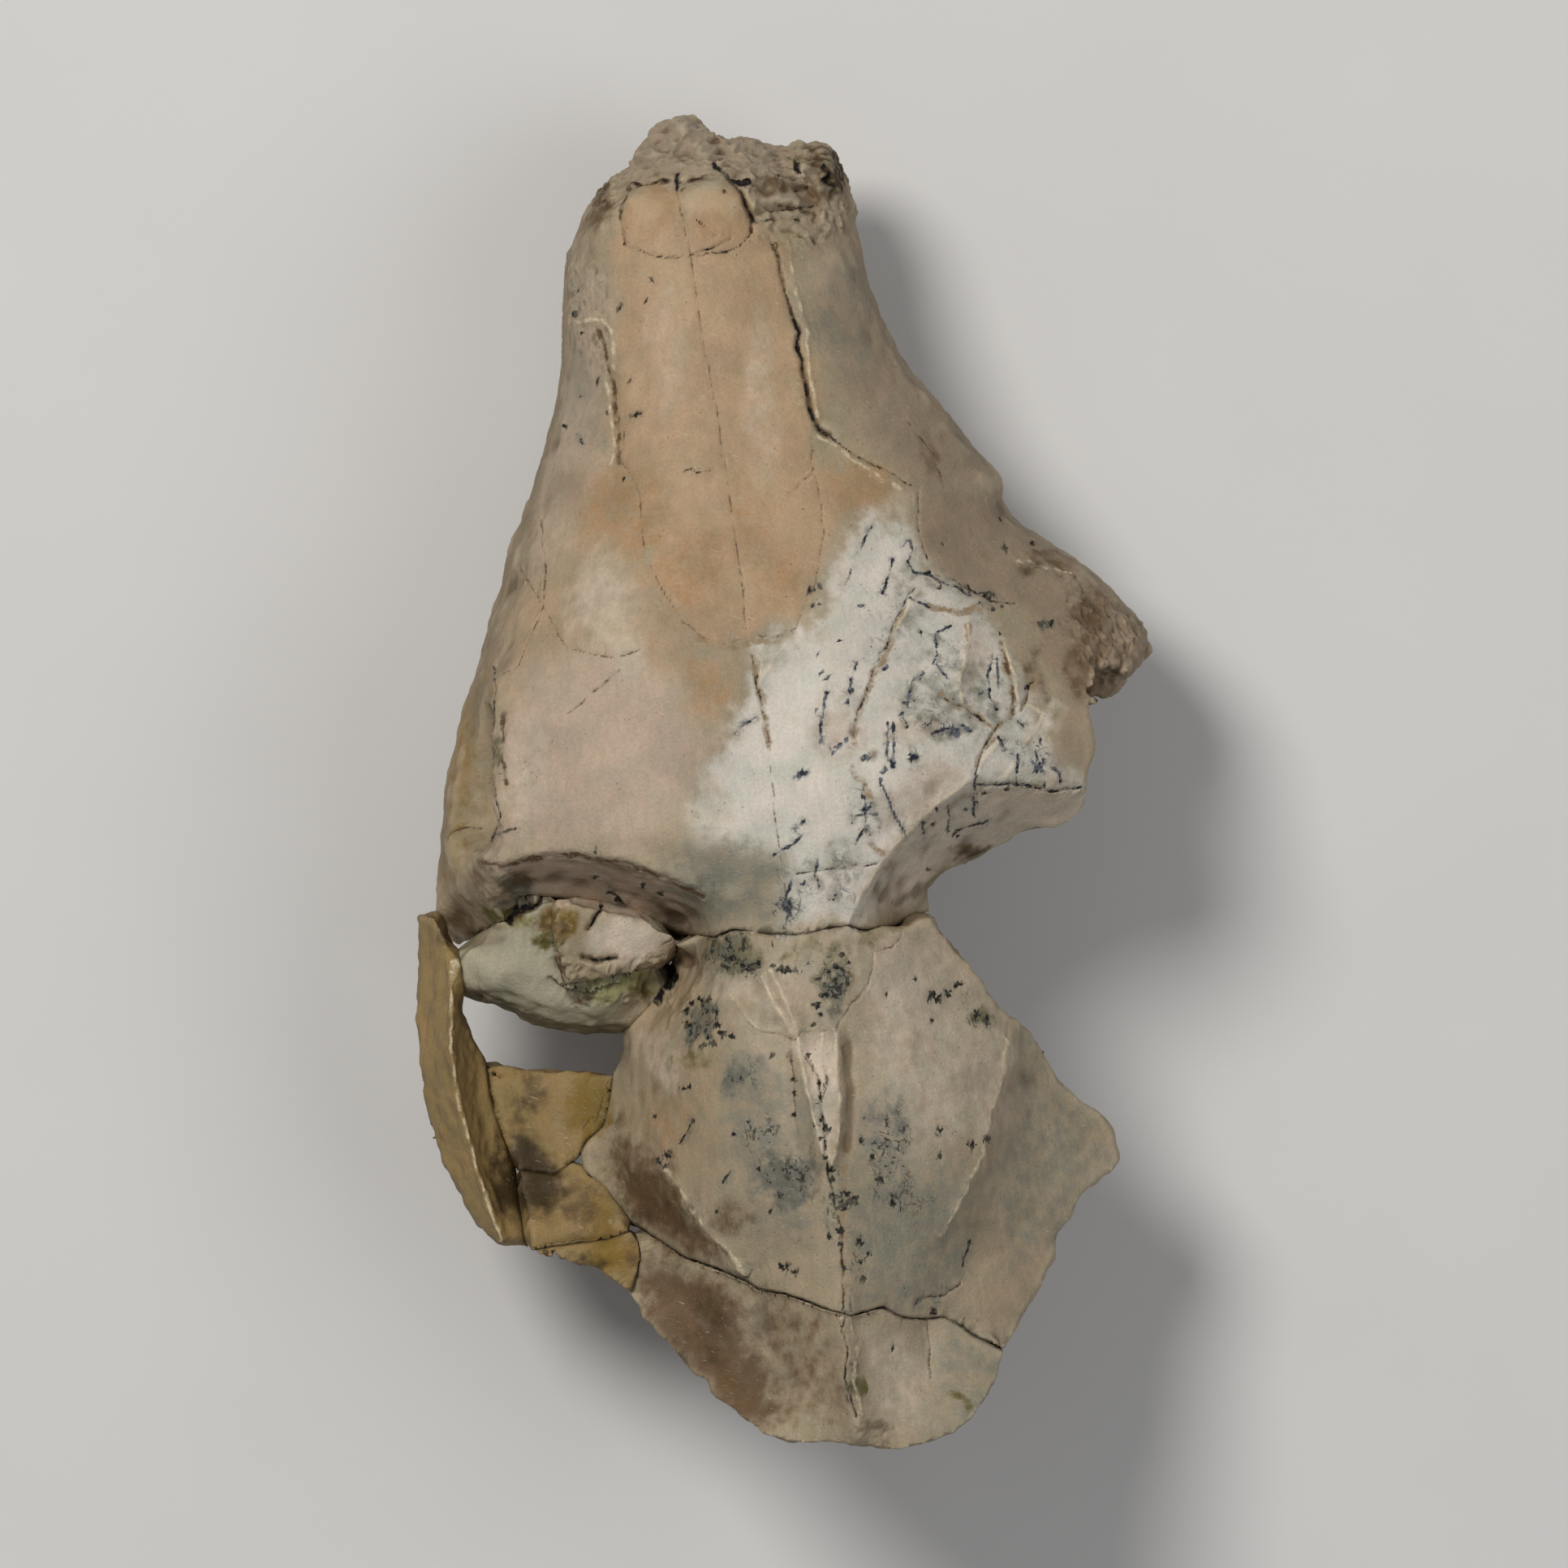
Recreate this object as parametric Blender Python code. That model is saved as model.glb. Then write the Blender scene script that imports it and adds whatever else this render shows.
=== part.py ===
"""Fossil oreodont skull, lying on its cheek teeth, snout towards +Y, in metres.

The roof of the skull is a smooth surface through named spot heights. Each fragment is
cut from it along its own outline, seen from above, and gets its own sides and underside.
"""
import math

import bmesh
import bpy
import numpy as np
from mathutils import Matrix, Vector
from mathutils.geometry import delaunay_2d_cdt

# Driving dimensions, in millimetres
SKULL_LENGTH = 212.6
TRACED_LENGTH = 212.6
MM = 0.001 * SKULL_LENGTH / TRACED_LENGTH
CRACK_GAP = 0.5
SOCKET_GAP = 0.3
GRID_STEP = 4.6
EDGE_RINGS = (1.3, 3.9)
SHELF_THICKNESS = 9.0
WING_THICKNESS = 6.0
THINNEST = 2.2
ALVEOLAR_HEIGHT = 9.0
PALATE_VAULT = 8.0
BASE_HEIGHT = 32.0
CREST_RISE = 2.6
CREST_WIDTH = 2.0

# Heights of the roof above the wear plane of the teeth: x, y, z
ROOF_SPOTS = (
    # Midline from the nasal tips to the rear of the crest
    (-1, 97, 50), (-1, 75, 55), (-1, 50, 60), (-1, 25, 66.5), (-1, 0, 72), (-1, -22, 74.5),
    (-1, -40, 76), (0, -60, 78), (-1, -85, 79), (-1, -100, 77.5), (3, -106, 76),
    # Edges of the nasals and the shoulders of the snout
    (-15, 92, 46), (14, 90, 46), (-17, 72, 50), (15, 72, 51), (-21, 55, 53), (22, 52, 55),
    # Left frontal and lacrimal
    (-30, 46, 51), (-31, 33, 57), (-20, 30, 65), (-40, 23, 59), (-43.5, 7, 63), (-46, -6, 64),
    (-25, 5, 70.5), (-30, -8, 70), (-18, -14, 73),
    # Right frontal and lacrimal
    (28, 42, 55), (30, 28, 60.5), (41, 25, 54), (45, 12, 58), (50, 0, 60), (47, -8, 61),
    (25, 8, 70), (30, -5, 70), (18, -12, 73),
    # Waist behind the orbits
    (-18.5, -22, 62), (21, -23, 63),
    # Left side of the braincase
    (-10, -32, 72.5), (-20, -32, 61), (-27, -38, 52), (-16, -45, 70), (-31, -47, 46),
    (-10, -50, 74.5), (-22, -55, 63), (-28, -57, 54), (-37, -53, 41), (-12, -68, 74),
    (-18, -70, 69), (-31, -66, 50), (-33, -75, 55), (-24, -78, 61),
    # Right side of the braincase and the squamosal wing
    (12, -32, 72.5), (22, -33, 62), (29, -43, 57), (16, -45, 71), (32, -47, 53),
    (10, -50, 74.5), (24, -58, 65), (12, -68, 74.5), (19, -70, 69.5), (36, -55, 49),
    (45, -66, 45), (34, -78, 55), (26, -75, 61), (22, -92, 65),
    # Valleys and rims of the occiput
    (-29, -85, 63), (-24, -93, 68), (-12, -103, 75), (-19, -86, 64), (-13, -95, 70),
    (13, -88, 69), (11, -97, 71), (19, -100, 71), (9, -105, 75),
)

# Outlines seen from above: x, y
SNOUT_FRONT = (
    (-16.8, 94.1), (-12.2, 97.4), (-9.1, 98.9), (-6.3, 102.1), (-5.2, 104.3), (-2.2, 105.8),
    (1.6, 106.3), (4.8, 102.1), (6, 100.9), (8.1, 101.5), (11.8, 100.7), (15.2, 98.4),
    (16.3, 99.3), (21.3, 99.1), (23.1, 97.6), (24.1, 93.4),
)
SNOUT_RIGHT = (
    (25.1, 90.6), (24.9, 86.2), (25.4, 82.2), (26, 75.7), (27.4, 69), (29.5, 63.6), (32.9, 57.9),
    (36.1, 52.9), (38.6, 48), (42.9, 42.1), (41.9, 40.7), (42, 38.5), (43.3, 35.7),
)
JUGAL_STUB = (
    (47.9, 31.8), (53.7, 26.9), (56.4, 23.5), (60.2, 18.5), (61.8, 12.4), (59.8, 10.8),
    (55.9, 8.2), (56, 5.9), (54.1, 5), (50.9, 4.7),
)
RIGHT_ORBIT_RIM = (
    (51.2, 1.4), (51.1, -2.1), (49.5, -5.1), (48, -6), (48.7, -8), (47.1, -11.5), (42.8, -13.4),
    (39, -12.8), (28, -17), (24.9, -17.2), (21.6, -19.5), (21.3, -21.9),
)
FRONT_CRACK = (
    (21.4, -23.8), (19.2, -23.9), (17.4, -25.2), (14.7, -25.5), (10.3, -25.1), (8.2, -23.9),
    (4.2, -24), (0.1, -24.2), (-3.7, -23.6), (-9.8, -22), (-12.3, -22.8), (-15.4, -22.6),
    (-18.7, -21.8),
)
LEFT_FRONTAL_WALL = (
    (-20.9, -20.3), (-24.4, -17.7), (-29.3, -15.5), (-36.1, -13.3), (-41.4, -12), (-44, -15.5),
    (-48, -16), (-52.8, -18.3), (-54.1, -18.4), (-56, -12.9),
)
LEFT_SIDE = (
    (-54.9, -7.2), (-54.1, -3.7), (-51.8, 6.7), (-47.8, 17.2), (-43.1, 26.4), (-40.4, 33.4),
    (-38.2, 37.2), (-37.4, 40.8), (-34, 46.7), (-31.4, 51.5), (-28.6, 57.6), (-25.6, 64.9),
    (-23.8, 71.1), (-22.9, 77.5), (-21.7, 83.8), (-19.9, 88.7),
)
LEFT_RIDGE = (
    (-46.6, -6.3), (-43.9, -6.5), (-39.8, -5.8), (-35.8, -6), (-32.1, -6.9), (-28.2, -8.1),
    (-24.5, -9.4), (-20.8, -11.5), (-17.1, -13.3), (-13.6, -16.2),
)
LEFT_GROOVE = ((-39.6, 23.4), (-36.6, 25.5), (-32.8, 32), (-31, 38.6), (-30.8, 46.3))
LEFT_ORBIT_RIM = ((-46.6, -6.3), (-44, 0.9), (-43.2, 10), (-41.6, 20.3), (-40, 25))
RIGHT_RIDGE = (
    (13, -17.1), (15.9, -14), (18.6, -11.6), (21.2, -9.6), (23, -8), (26.3, -6.5), (30.5, -5),
    (33.6, -5.2), (37.9, -5.6), (41.4, -6.9), (44.4, -7.7), (47.5, -8),
)
RIGHT_BRAINCASE_SIDE = (
    (23.3, -28.5), (25.7, -32), (27.5, -35.3), (30.3, -40.9), (33, -42.7), (36.4, -48.5),
    (37.3, -52.1), (40.5, -56.3), (44.3, -59.7), (45.4, -62.8), (46, -67.3), (44, -68.4),
    (38.8, -71.3), (36.6, -74.6), (33.9, -77), (33.4, -80.2), (31.5, -82.6), (27.8, -87.6),
)
REAR_CRACK = (
    (23.1, -93.6), (21, -92.1), (18.7, -90.6), (16.7, -88.6), (14.4, -87.1), (11.2, -86.9),
    (8, -86.2), (5.3, -84.1), (2.9, -84.3), (0.1, -84.6), (-3.6, -83.1), (-6.2, -81.6),
    (-9.9, -79.8), (-13.5, -78.9), (-15.2, -77.2), (-19.6, -74.6), (-24.9, -72.2), (-28.4, -69),
    (-31.2, -66.5),
)
LEFT_BRAINCASE_SIDE = (
    (-32.4, -65.3), (-34.7, -61.8), (-37.6, -57.6), (-38.6, -54.2), (-37.1, -52.2),
    (-34.2, -50.4), (-32.5, -47), (-31.4, -42.5), (-29.9, -38.7), (-28.2, -35.4), (-24.1, -32.4),
    (-20.6, -29), (-18.8, -25.5),
)
OCCIPUT_RIM = (
    (21.7, -96.8), (19.4, -100.5), (16, -103.4), (13.4, -105.2), (8.5, -106.3), (3.7, -106.3),
    (-1.3, -105), (-7.5, -103.4), (-12.1, -103.1), (-16.6, -100.9), (-19.9, -97.1),
    (-23.7, -93.6), (-23.9, -91.2), (-25.7, -90.1), (-29.2, -84.8), (-32.4, -80.4), (-33.8, -76.2),
    (-31.6, -71),
)
CREST_LINE = (
    (0.3, -47.7), (0, -54), (-0.3, -61.5), (0.1, -66), (0.3, -71.6), (-0.5, -78), (-0.8, -83),
)
LEFT_TEMPORAL_RIDGE = (
    (-26.5, -57.8), (-23.8, -61.8), (-22.4, -65.5), (-20.5, -68.2), (-18, -71.5),
)
RIGHT_TEMPORAL_RIDGE = (
    (29.2, -43.1), (31.3, -46.6), (30.3, -49.5), (27.1, -55.1), (25.6, -58.5), (23.4, -64.1),
    (20.5, -67.9), (18.6, -70.9), (15.7, -75),
)
REAR_CREST_LINE = ((-1.8, -86.5), (-1.5, -90), (-2.2, -94.3), (-1.5, -98), (-1.3, -102))

# Left cheek arch and the plates inside it
ARCH_OUTER = (
    (-56.4, -13.4), (-58.8, -12.8), (-59.7, -19.7), (-61.3, -29), (-61.8, -35.3), (-61.8, -42),
    (-61.2, -48.4), (-59.9, -53.3), (-58.1, -58.3), (-56.4, -62.6), (-53.3, -66.2),
)
ARCH_INNER = (
    (-49.4, -67.4), (-49, -62), (-49.6, -54), (-50.7, -48), (-51.6, -42.7), (-51.9, -36.7),
    (-54.4, -28.5), (-54.3, -19.5),
)
ARCH_TOP_EDGE = (
    (-54.8, -20.4), (-55.5, -28.3), (-56.5, -34.5), (-56.6, -42), (-55.9, -48), (-55.2, -54),
    (-54.1, -60), (-52.4, -65),
)
FRONT_PLATE = (
    (-51.2, -37.2), (-46.4, -39.3), (-41.7, -40.3), (-36, -41.2), (-32.1, -42.2), (-32.9, -45.2),
    (-34.4, -49.7), (-37.6, -51.6), (-39.5, -54.2), (-43, -56.1), (-48.9, -54.6), (-50.1, -48),
    (-51, -42.7),
)
REAR_PLATE = (
    (-48.9, -55.4), (-43, -56.9), (-40, -55.2), (-38.4, -57.2), (-35.9, -60.6), (-33.9, -63.7),
    (-32.6, -66.5), (-36.6, -67.4), (-42.6, -67.3), (-48.6, -67.5), (-48.4, -62),
)
CORNER_PLATE = (
    (-48.8, -68.1), (-42.6, -67.9), (-36.6, -68), (-32.1, -67.2), (-32, -70.5), (-34.4, -75.8),
    (-38.6, -71.9), (-42.9, -70.3),
)
LUMP = (
    (-48, -16.6), (-52.6, -18.9), (-53.2, -22.5), (-52.8, -25.7), (-50.3, -28.1), (-46.5, -29.6),
    (-44.5, -31.8), (-40.8, -33.5), (-35.4, -35), (-31.2, -35.4), (-28.5, -34.9), (-27, -33.8),
    (-24.3, -31.9), (-21.3, -28.8), (-20.6, -26), (-37, -27), (-38.2, -23.4), (-38, -17),
    (-36.9, -13.8), (-41.2, -12.6), (-43.8, -16.1),
)
BLOCK = (
    (-36.3, -13.9), (-29.5, -16.1), (-24.7, -18.2), (-21.1, -20.8), (-19.4, -23.3), (-20.4, -25.4),
    (-36.6, -26.4), (-37.6, -23.2), (-37.4, -17),
)

# Cheek teeth from front to rear: name, y, distance from the midline, length, width, cusp pairs
TEETH = (
    ("premolar_2", 59.0, 17.5, 10.5, 6.5, 1),
    ("premolar_3", 48.0, 18.8, 10.5, 8.0, 1),
    ("premolar_4", 38.0, 20.2, 8.6, 11.0, 1),
    ("molar_1", 27.6, 21.0, 11.4, 13.0, 2),
    ("molar_2", 14.6, 21.8, 13.6, 14.6, 2),
    ("molar_3", -0.6, 22.2, 15.8, 15.2, 2),
)
MIDLINE = -1.0
TOOTH_ROOT_TOP = 12.0
TOOTH_NOTCH = 1.3
TOOTH_SPACING = 0.8
JAW_REAR = -9.8


def smooth(a, b, v):
    """0 before a, 1 after b, and an even curve between them."""
    t = np.clip((np.asarray(v, float) - a) / (b - a), 0, 1)
    return t * t * (3 - 2 * t)


def mix(a, b, t):
    return a + (b - a) * t


def along(line, v, axis=1):
    """The other coordinate of a line where its given axis has the value v."""
    pts = np.array(sorted(line, key=lambda p: p[axis]), float)
    return np.interp(v, pts[:, axis], pts[:, 1 - axis])


def distance(x, y, line):
    """Shortest distance from each point to an open line."""
    pts = np.array(line, float)
    best = np.full(np.shape(x), 1e9)
    for a, b in zip(pts[:-1], pts[1:]):
        step = b - a
        t = ((x - a[0]) * step[0] + (y - a[1]) * step[1]) / (step @ step)
        t = np.clip(t, 0, 1)
        gap = np.hypot(x - a[0] - t * step[0], y - a[1] - t * step[1])
        best = np.minimum(best, gap)
    return best


def kernel(r):
    return r * r * np.log(r + 1e-9)


def fit_roof():
    """Weights of the smooth surface through the spot heights."""
    spots = np.array(ROOF_SPOTS, float)
    n = len(spots)
    gaps = np.hypot(spots[:, None, 0] - spots[None, :, 0], spots[:, None, 1] - spots[None, :, 1])
    flat = np.column_stack([np.ones(n), spots[:, :2]])
    system = np.zeros((n + 3, n + 3))
    system[:n, :n] = kernel(gaps)
    system[:n, n:] = flat
    system[n:, :n] = flat.T
    answer = np.linalg.solve(system, np.concatenate([spots[:, 2], np.zeros(3)]))
    return spots, answer


SPOTS, ROOF = fit_roof()


def roof(x, y):
    """Height of the skull roof."""
    x = np.asarray(x, float)
    y = np.asarray(y, float)
    n = len(SPOTS)
    r = np.hypot(x[..., None] - SPOTS[:, 0], y[..., None] - SPOTS[:, 1])
    return kernel(r) @ ROOF[:n] + ROOF[n] + ROOF[n + 1] * x + ROOF[n + 2] * y


def shoulder(d, width, low, high):
    """Round side: low at the outline, high at the given distance inside it."""
    t = 1 - np.clip(d / width, 0, 1)
    return low + (high - low) * np.sqrt(np.clip(1 - t * t, 0, 1))


def face_top(x, y):
    z = roof(x, y)
    # The rock and the broken premaxilla ahead of the nasal tips lie lower
    z = z - 9 * smooth(95.5, 98.5, y) - 0.9 * np.clip(y - 98, 0, 9)
    z = z - 3 * smooth(82, 85, y) * smooth(7, 10, x)
    # Hollow in front of the left orbit, outside the groove
    hollow = smooth(21, 26, y) * smooth(50, 44, y)
    z = z - 3.5 * hollow * smooth(0, 3, along(LEFT_GROOVE, y) - x)
    # Rear walls of the frontals, below the left and right ridges
    left = np.clip(along(LEFT_RIDGE, x, 0) - y, 0, 9) * smooth(-12, -17, x) * smooth(-50, -46, x)
    right = np.clip(along(RIGHT_RIDGE, x, 0) - y, 0, 12) * smooth(11, 17, x)
    z = z - 2.3 * left - 1.25 * right
    # Left side: round snout, then the drop into the orbit with the jugal outside it
    side = LEFT_SIDE + SNOUT_FRONT[:2]
    d = distance(x, y, side)
    width = np.interp(y, (-20, 24, 36, 46, 60, 75, 95), (9, 7, 9, 8, 12, 9, 7))
    low = np.interp(y, (-20, 0, 20, 60, 95), (35, 32, 29, 30, 31))
    z_side = shoulder(d, width, low, z)
    rim = along(LEFT_ORBIT_RIM, y)
    jugal = shoulder(d, 3.5, low, low + 10)
    into_orbit = mix(jugal, z, smooth(rim - 3, rim - 0.3, x))
    orbit = smooth(27, 20, y) * smooth(-3, 1, y)
    z_side = mix(z_side, into_orbit, orbit)
    # Bar behind the orbit, sloping down and outwards to the jugal
    bar = shoulder(d, 5, low, np.clip(62 - 2.4 * (-46 - x), 38, 62) - np.clip(-8 - y, 0, 12) * 1.6)
    z_side = mix(z_side, bar, smooth(-1, -5, y) * smooth(-44.5, -46.5, x))
    z = np.where(x < -5, z_side, z)
    # Right side: round snout, smooth patch, then the broken jugal stub
    d = distance(x, y, SNOUT_FRONT[-1:] + SNOUT_RIGHT + JUGAL_STUB[:5])
    width = np.interp(y, (5, 30, 40, 50, 60, 75, 95), (16, 19, 15, 14, 12, 9, 7))
    low = np.interp(y, (5, 20, 40, 60, 95), (31, 32, 33, 31, 31))
    z_side = shoulder(d, width, low, z)
    return np.where((x > 5) & (y > 3), np.minimum(z, z_side), z)


def jaw_ridge(y):
    """Distance of the tooth-bearing ridge from the midline, and its half width."""
    ridge = np.interp(y, (-10, 30, 60, 80, 100), (22.5, 21, 17.5, 15, 11))
    half = np.interp(y, (-10, 30, 60, 80, 100), (9.5, 9, 6, 4.5, 4))
    return ridge, half


def jaw_lines():
    """Inner and outer edges of both tooth-bearing ridges, and their rear ends."""
    lines = []
    for sign in (-1, 1):
        for edge in (-1, 1):
            line = []
            for y in (JAW_REAR, 10, 30, 45, 60, 72, 84):
                ridge, half = jaw_ridge(y)
                line.append((MIDLINE + sign * (ridge + edge * half), y))
            lines.append(line)
        lines.append([(MIDLINE + sign * out, JAW_REAR - 2.5) for out in (3, 32)])
    return tuple(lines)


def face_bottom(x, y):
    out = np.abs(x - MIDLINE)
    ridge, half = jaw_ridge(y)
    alveolar = mix(ALVEOLAR_HEIGHT, 15, smooth(78, 106, y))
    inside = np.clip((ridge - half - out) / (ridge - half), 0, 1)
    palate = alveolar + PALATE_VAULT * np.sqrt(np.clip(1 - (1 - inside) ** 2, 0, 1))
    outside = np.clip(out - ridge - half, 0, 60)
    flank = alveolar + 1.7 * outside
    z = np.where(out < ridge, palate, flank)
    # Underside of the cheek arch roots and of the jugal
    z = np.minimum(z, np.interp(y, (-20, 0, 20, 40), (29, 26, 23, 20)))
    # Open space between the upper jaw and the jugal, up to the shelf of the frontal
    shelf = roof(x, y) - SHELF_THICKNESS
    left_gap = smooth(-31, -33, x) * smooth(-43, -41, x) * smooth(12, 6, y)
    right_gap = smooth(31, 33, x) * smooth(8, 4, y)
    z = mix(z, shelf, np.maximum(left_gap, right_gap))
    # Behind the last molar the skull base rises to the braincase
    base = mix(mix(22, 37, smooth(-8, -18, y)), shelf - 4, smooth(15, 21, out))
    bar = (x < -47)
    return np.where(bar, z, mix(z, base, smooth(JAW_REAR, JAW_REAR - 2.5, y)))


def crest(x, y, line):
    return CREST_RISE * np.exp(-(distance(x, y, line) / CREST_WIDTH) ** 2)


def braincase_top(x, y):
    z = roof(x, y) + crest(x, y, CREST_LINE + ((-1.8, -90),))
    # The squamosal wings fall away outside the temporal ridges
    right = smooth(0, 4.5, x - along(RIGHT_TEMPORAL_RIDGE, y)) * smooth(-41, -45, y)
    left = smooth(0, 4.5, along(LEFT_TEMPORAL_RIDGE, y) - x) * smooth(-56, -60, y)
    z = z - 3.0 * (right + left) * smooth(-84, -74, y)
    d = distance(x, y, LEFT_BRAINCASE_SIDE[5:])
    z = np.where(x < 0, np.minimum(z, shoulder(d, 9, 43, z)), z)
    return z


def braincase_bottom(x, y):
    out = np.abs(x)
    wing = roof(x, y) - mix(WING_THICKNESS, 15, smooth(-36, -26, y))
    wide = np.interp(y, (-90, -70, -45, -25), (12, 20, 22, 13))
    base = mix(BASE_HEIGHT, 36, smooth(-40, -25, y)) + 0.012 * out * out
    z = mix(base, wing, smooth(wide, wide + 8, out))
    return np.minimum(z, braincase_top(x, y) - 4)


def occiput_top(x, y):
    return roof(x, y) + crest(x, y, ((-1.8, -80),) + REAR_CREST_LINE)


def occiput_bottom(x, y):
    wing = occiput_top(x, y) - WING_THICKNESS
    base = mix(33, 70, smooth(-90, -103, y))
    z = mix(np.minimum(base, wing), wing, smooth(12, 19, np.abs(x + 1)))
    return z


def arch_top(x, y):
    """The outer strip leans outwards and the inner face falls away from the top edge."""
    edge = along(ARCH_TOP_EDGE, y)
    high = np.interp(y, (-66, -50, -35, -20), (46, 47, 49, 47))
    outer = high - 1.9 * np.clip(edge - x, 0, 9)
    inner = high - 2.2 * np.clip(x - edge, 0, 9)
    return np.where(x < edge, outer, np.maximum(inner, 38))


def arch_bottom(x, y):
    edge = along(ARCH_TOP_EDGE, y)
    high = np.interp(y, (-66, -50, -35, -20), (35, 32, 32, 33))
    return high + 0.35 * np.abs(x - edge)


def plate_top(x, y):
    """Hollow top of the glenoid plates, rising to the rear and to the braincase."""
    dish = 0.035 * (x + 43) ** 2 + 0.02 * (y + 47) ** 2
    return 37 + dish * smooth(-36, -47, y) + 0.1 * (-37 - y)


def plate_bottom(x, y):
    """The joint for the lower jaw is hollow in front and ends in a rear lip."""
    hollow = 2.5 * np.exp(-(((y + 46) / 5) ** 2))
    lip = 5.0 * np.exp(-(((y + 56) / 3) ** 2)) * smooth(-50, -44, x)
    low = np.maximum(29 + hollow - lip, plate_top(x, y) - 12)
    return np.minimum(low, plate_top(x, y) - 3)


def lump_top(x, y):
    d = distance(x, y, LUMP[:15])
    round_top = shoulder(d, 9, 40, 53 + 0.12 * (x + 40))
    return round_top + 0.6 * np.sin(0.9 * x + 0.3) * np.cos(0.8 * y)


def lump_bottom(x, y):
    d = distance(x, y, LUMP[:15])
    return shoulder(d, 12, 38, 33) + 0.5 * np.sin(0.7 * x) * np.sin(0.9 * y)


def block_top(x, y):
    """Two flat faces of the splinter meet along a low ridge."""
    return 59 - 0.16 * (x + 30) - 0.55 * np.clip(-21 - y, 0, 9)


def block_bottom(x, y):
    return 40 + 0 * x


def resample(line, step):
    """Adds points so that no side of the line is longer than step."""
    out = []
    for a, b in zip(line[:-1], line[1:]):
        a, b = np.array(a, float), np.array(b, float)
        count = max(1, math.ceil(np.linalg.norm(b - a) / step))
        out += [tuple(mix(a, b, i / count)) for i in range(count)]
    return out + [tuple(line[-1])]


def inside(x, y, outline):
    odd = np.zeros(np.shape(x), bool)
    for (ax, ay), (bx, by) in zip(outline, outline[1:] + outline[:1]):
        if ay == by:
            continue
        crosses = (ay > y) != (by > y)
        odd ^= crosses & (x < (bx - ax) * (y - ay) / (by - ay) + ax)
    return odd


def inner_points(outline, step, rings):
    """Rings close inside the outline, and an even grid in the middle."""
    closed = outline + outline[:1]
    ring_points = []
    for ring in rings:
        for a, b in zip(closed[:-1], closed[1:]):
            side = np.array(b, float) - np.array(a, float)
            normal = np.array((side[1], -side[0])) / np.linalg.norm(side)
            middle = (np.array(a) + np.array(b)) / 2
            ring_points += [middle + normal * ring, middle - normal * ring]
    ring_points = np.array(ring_points) if ring_points else np.zeros((0, 2))
    low = np.min(outline, 0)
    high = np.max(outline, 0)
    rows = np.arange(low[1], high[1], step * 0.866)
    grid = []
    for i, y in enumerate(rows):
        xs = np.arange(low[0] + (i % 2) * step / 2, high[0], step)
        grid += [(x, y) for x in xs]
    grid = np.array(grid)
    margin = max(rings, default=0) + step * 0.6
    keep = []
    for points, near in ((ring_points, 0.75 * min(rings, default=1)), (grid, margin)):
        if len(points):
            ok = inside(points[:, 0], points[:, 1], outline)
            ok &= distance(points[:, 0], points[:, 1], closed) > near
            keep.append(points[ok])
    points = np.concatenate(keep)
    chosen = []
    for p in points:
        if all((p[0] - q[0]) ** 2 + (p[1] - q[1]) ** 2 > (0.45 * step) ** 2 for q in chosen):
            chosen.append(tuple(p))
    return chosen


def least_height(top, x, y):
    """Height that keeps a solid from being thin, measured square to its top."""
    slope_x = top(x + 0.5, y) - top(x - 0.5, y)
    slope_y = top(x, y + 0.5) - top(x, y - 0.5)
    slope = np.clip(np.hypot(slope_x, slope_y), 0, 3)
    return THINNEST * np.sqrt(1 + slope * slope)


def relief(name, outline, top, bottom, step=GRID_STEP, rings=EDGE_RINGS, lines=()):
    """Closed solid over an outline, between a top and a bottom surface."""
    outline = resample(list(outline) + [outline[0]], step)[:-1]
    points = list(outline)
    edges = [(i, (i + 1) % len(outline)) for i in range(len(outline))]
    for line in lines:
        line = resample(line, step)
        first = len(points)
        points += line
        edges += [(first + i, first + i + 1) for i in range(len(line) - 1)]
    free = inner_points(outline, step, rings)
    ridge = [p for line in lines for p in resample(line, step)]
    for p in free:
        if all((p[0] - q[0]) ** 2 + (p[1] - q[1]) ** 2 > (0.4 * step) ** 2 for q in ridge):
            points.append(p)
    result = delaunay_2d_cdt([Vector(p) for p in points], edges, [], 1, 1e-4)
    flat, faces = result[0], result[2]
    x = np.array([p[0] for p in flat])
    y = np.array([p[1] for p in flat])
    upper = top(x, y)
    lower = np.minimum(bottom(x, y), upper - least_height(top, x, y))
    count = len(flat)
    verts = [(x[i], y[i], upper[i]) for i in range(count)]
    verts += [(x[i], y[i], lower[i]) for i in range(count)]
    sides = {}
    solid = []
    for f in faces:
        solid.append(tuple(f))
        solid.append(tuple(count + i for i in reversed(f)))
        for a, b in zip(f, f[1:] + f[:1]):
            sides[(a, b)] = True
    for a, b in sides:
        if (b, a) not in sides:
            solid.append((b, a, count + a, count + b))
    return build(name, verts, solid)


def build(name, verts, faces):
    mesh = bpy.data.meshes.new(name)
    mesh.from_pydata([tuple(c * MM for c in v) for v in verts], [], faces)
    bm = bmesh.new()
    bm.from_mesh(mesh)
    bmesh.ops.triangulate(bm, faces=bm.faces[:])
    bmesh.ops.recalc_face_normals(bm, faces=bm.faces[:])
    bm.to_mesh(mesh)
    bm.free()
    obj = bpy.data.objects.new(name, mesh)
    bpy.context.collection.objects.link(obj)
    return obj


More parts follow.
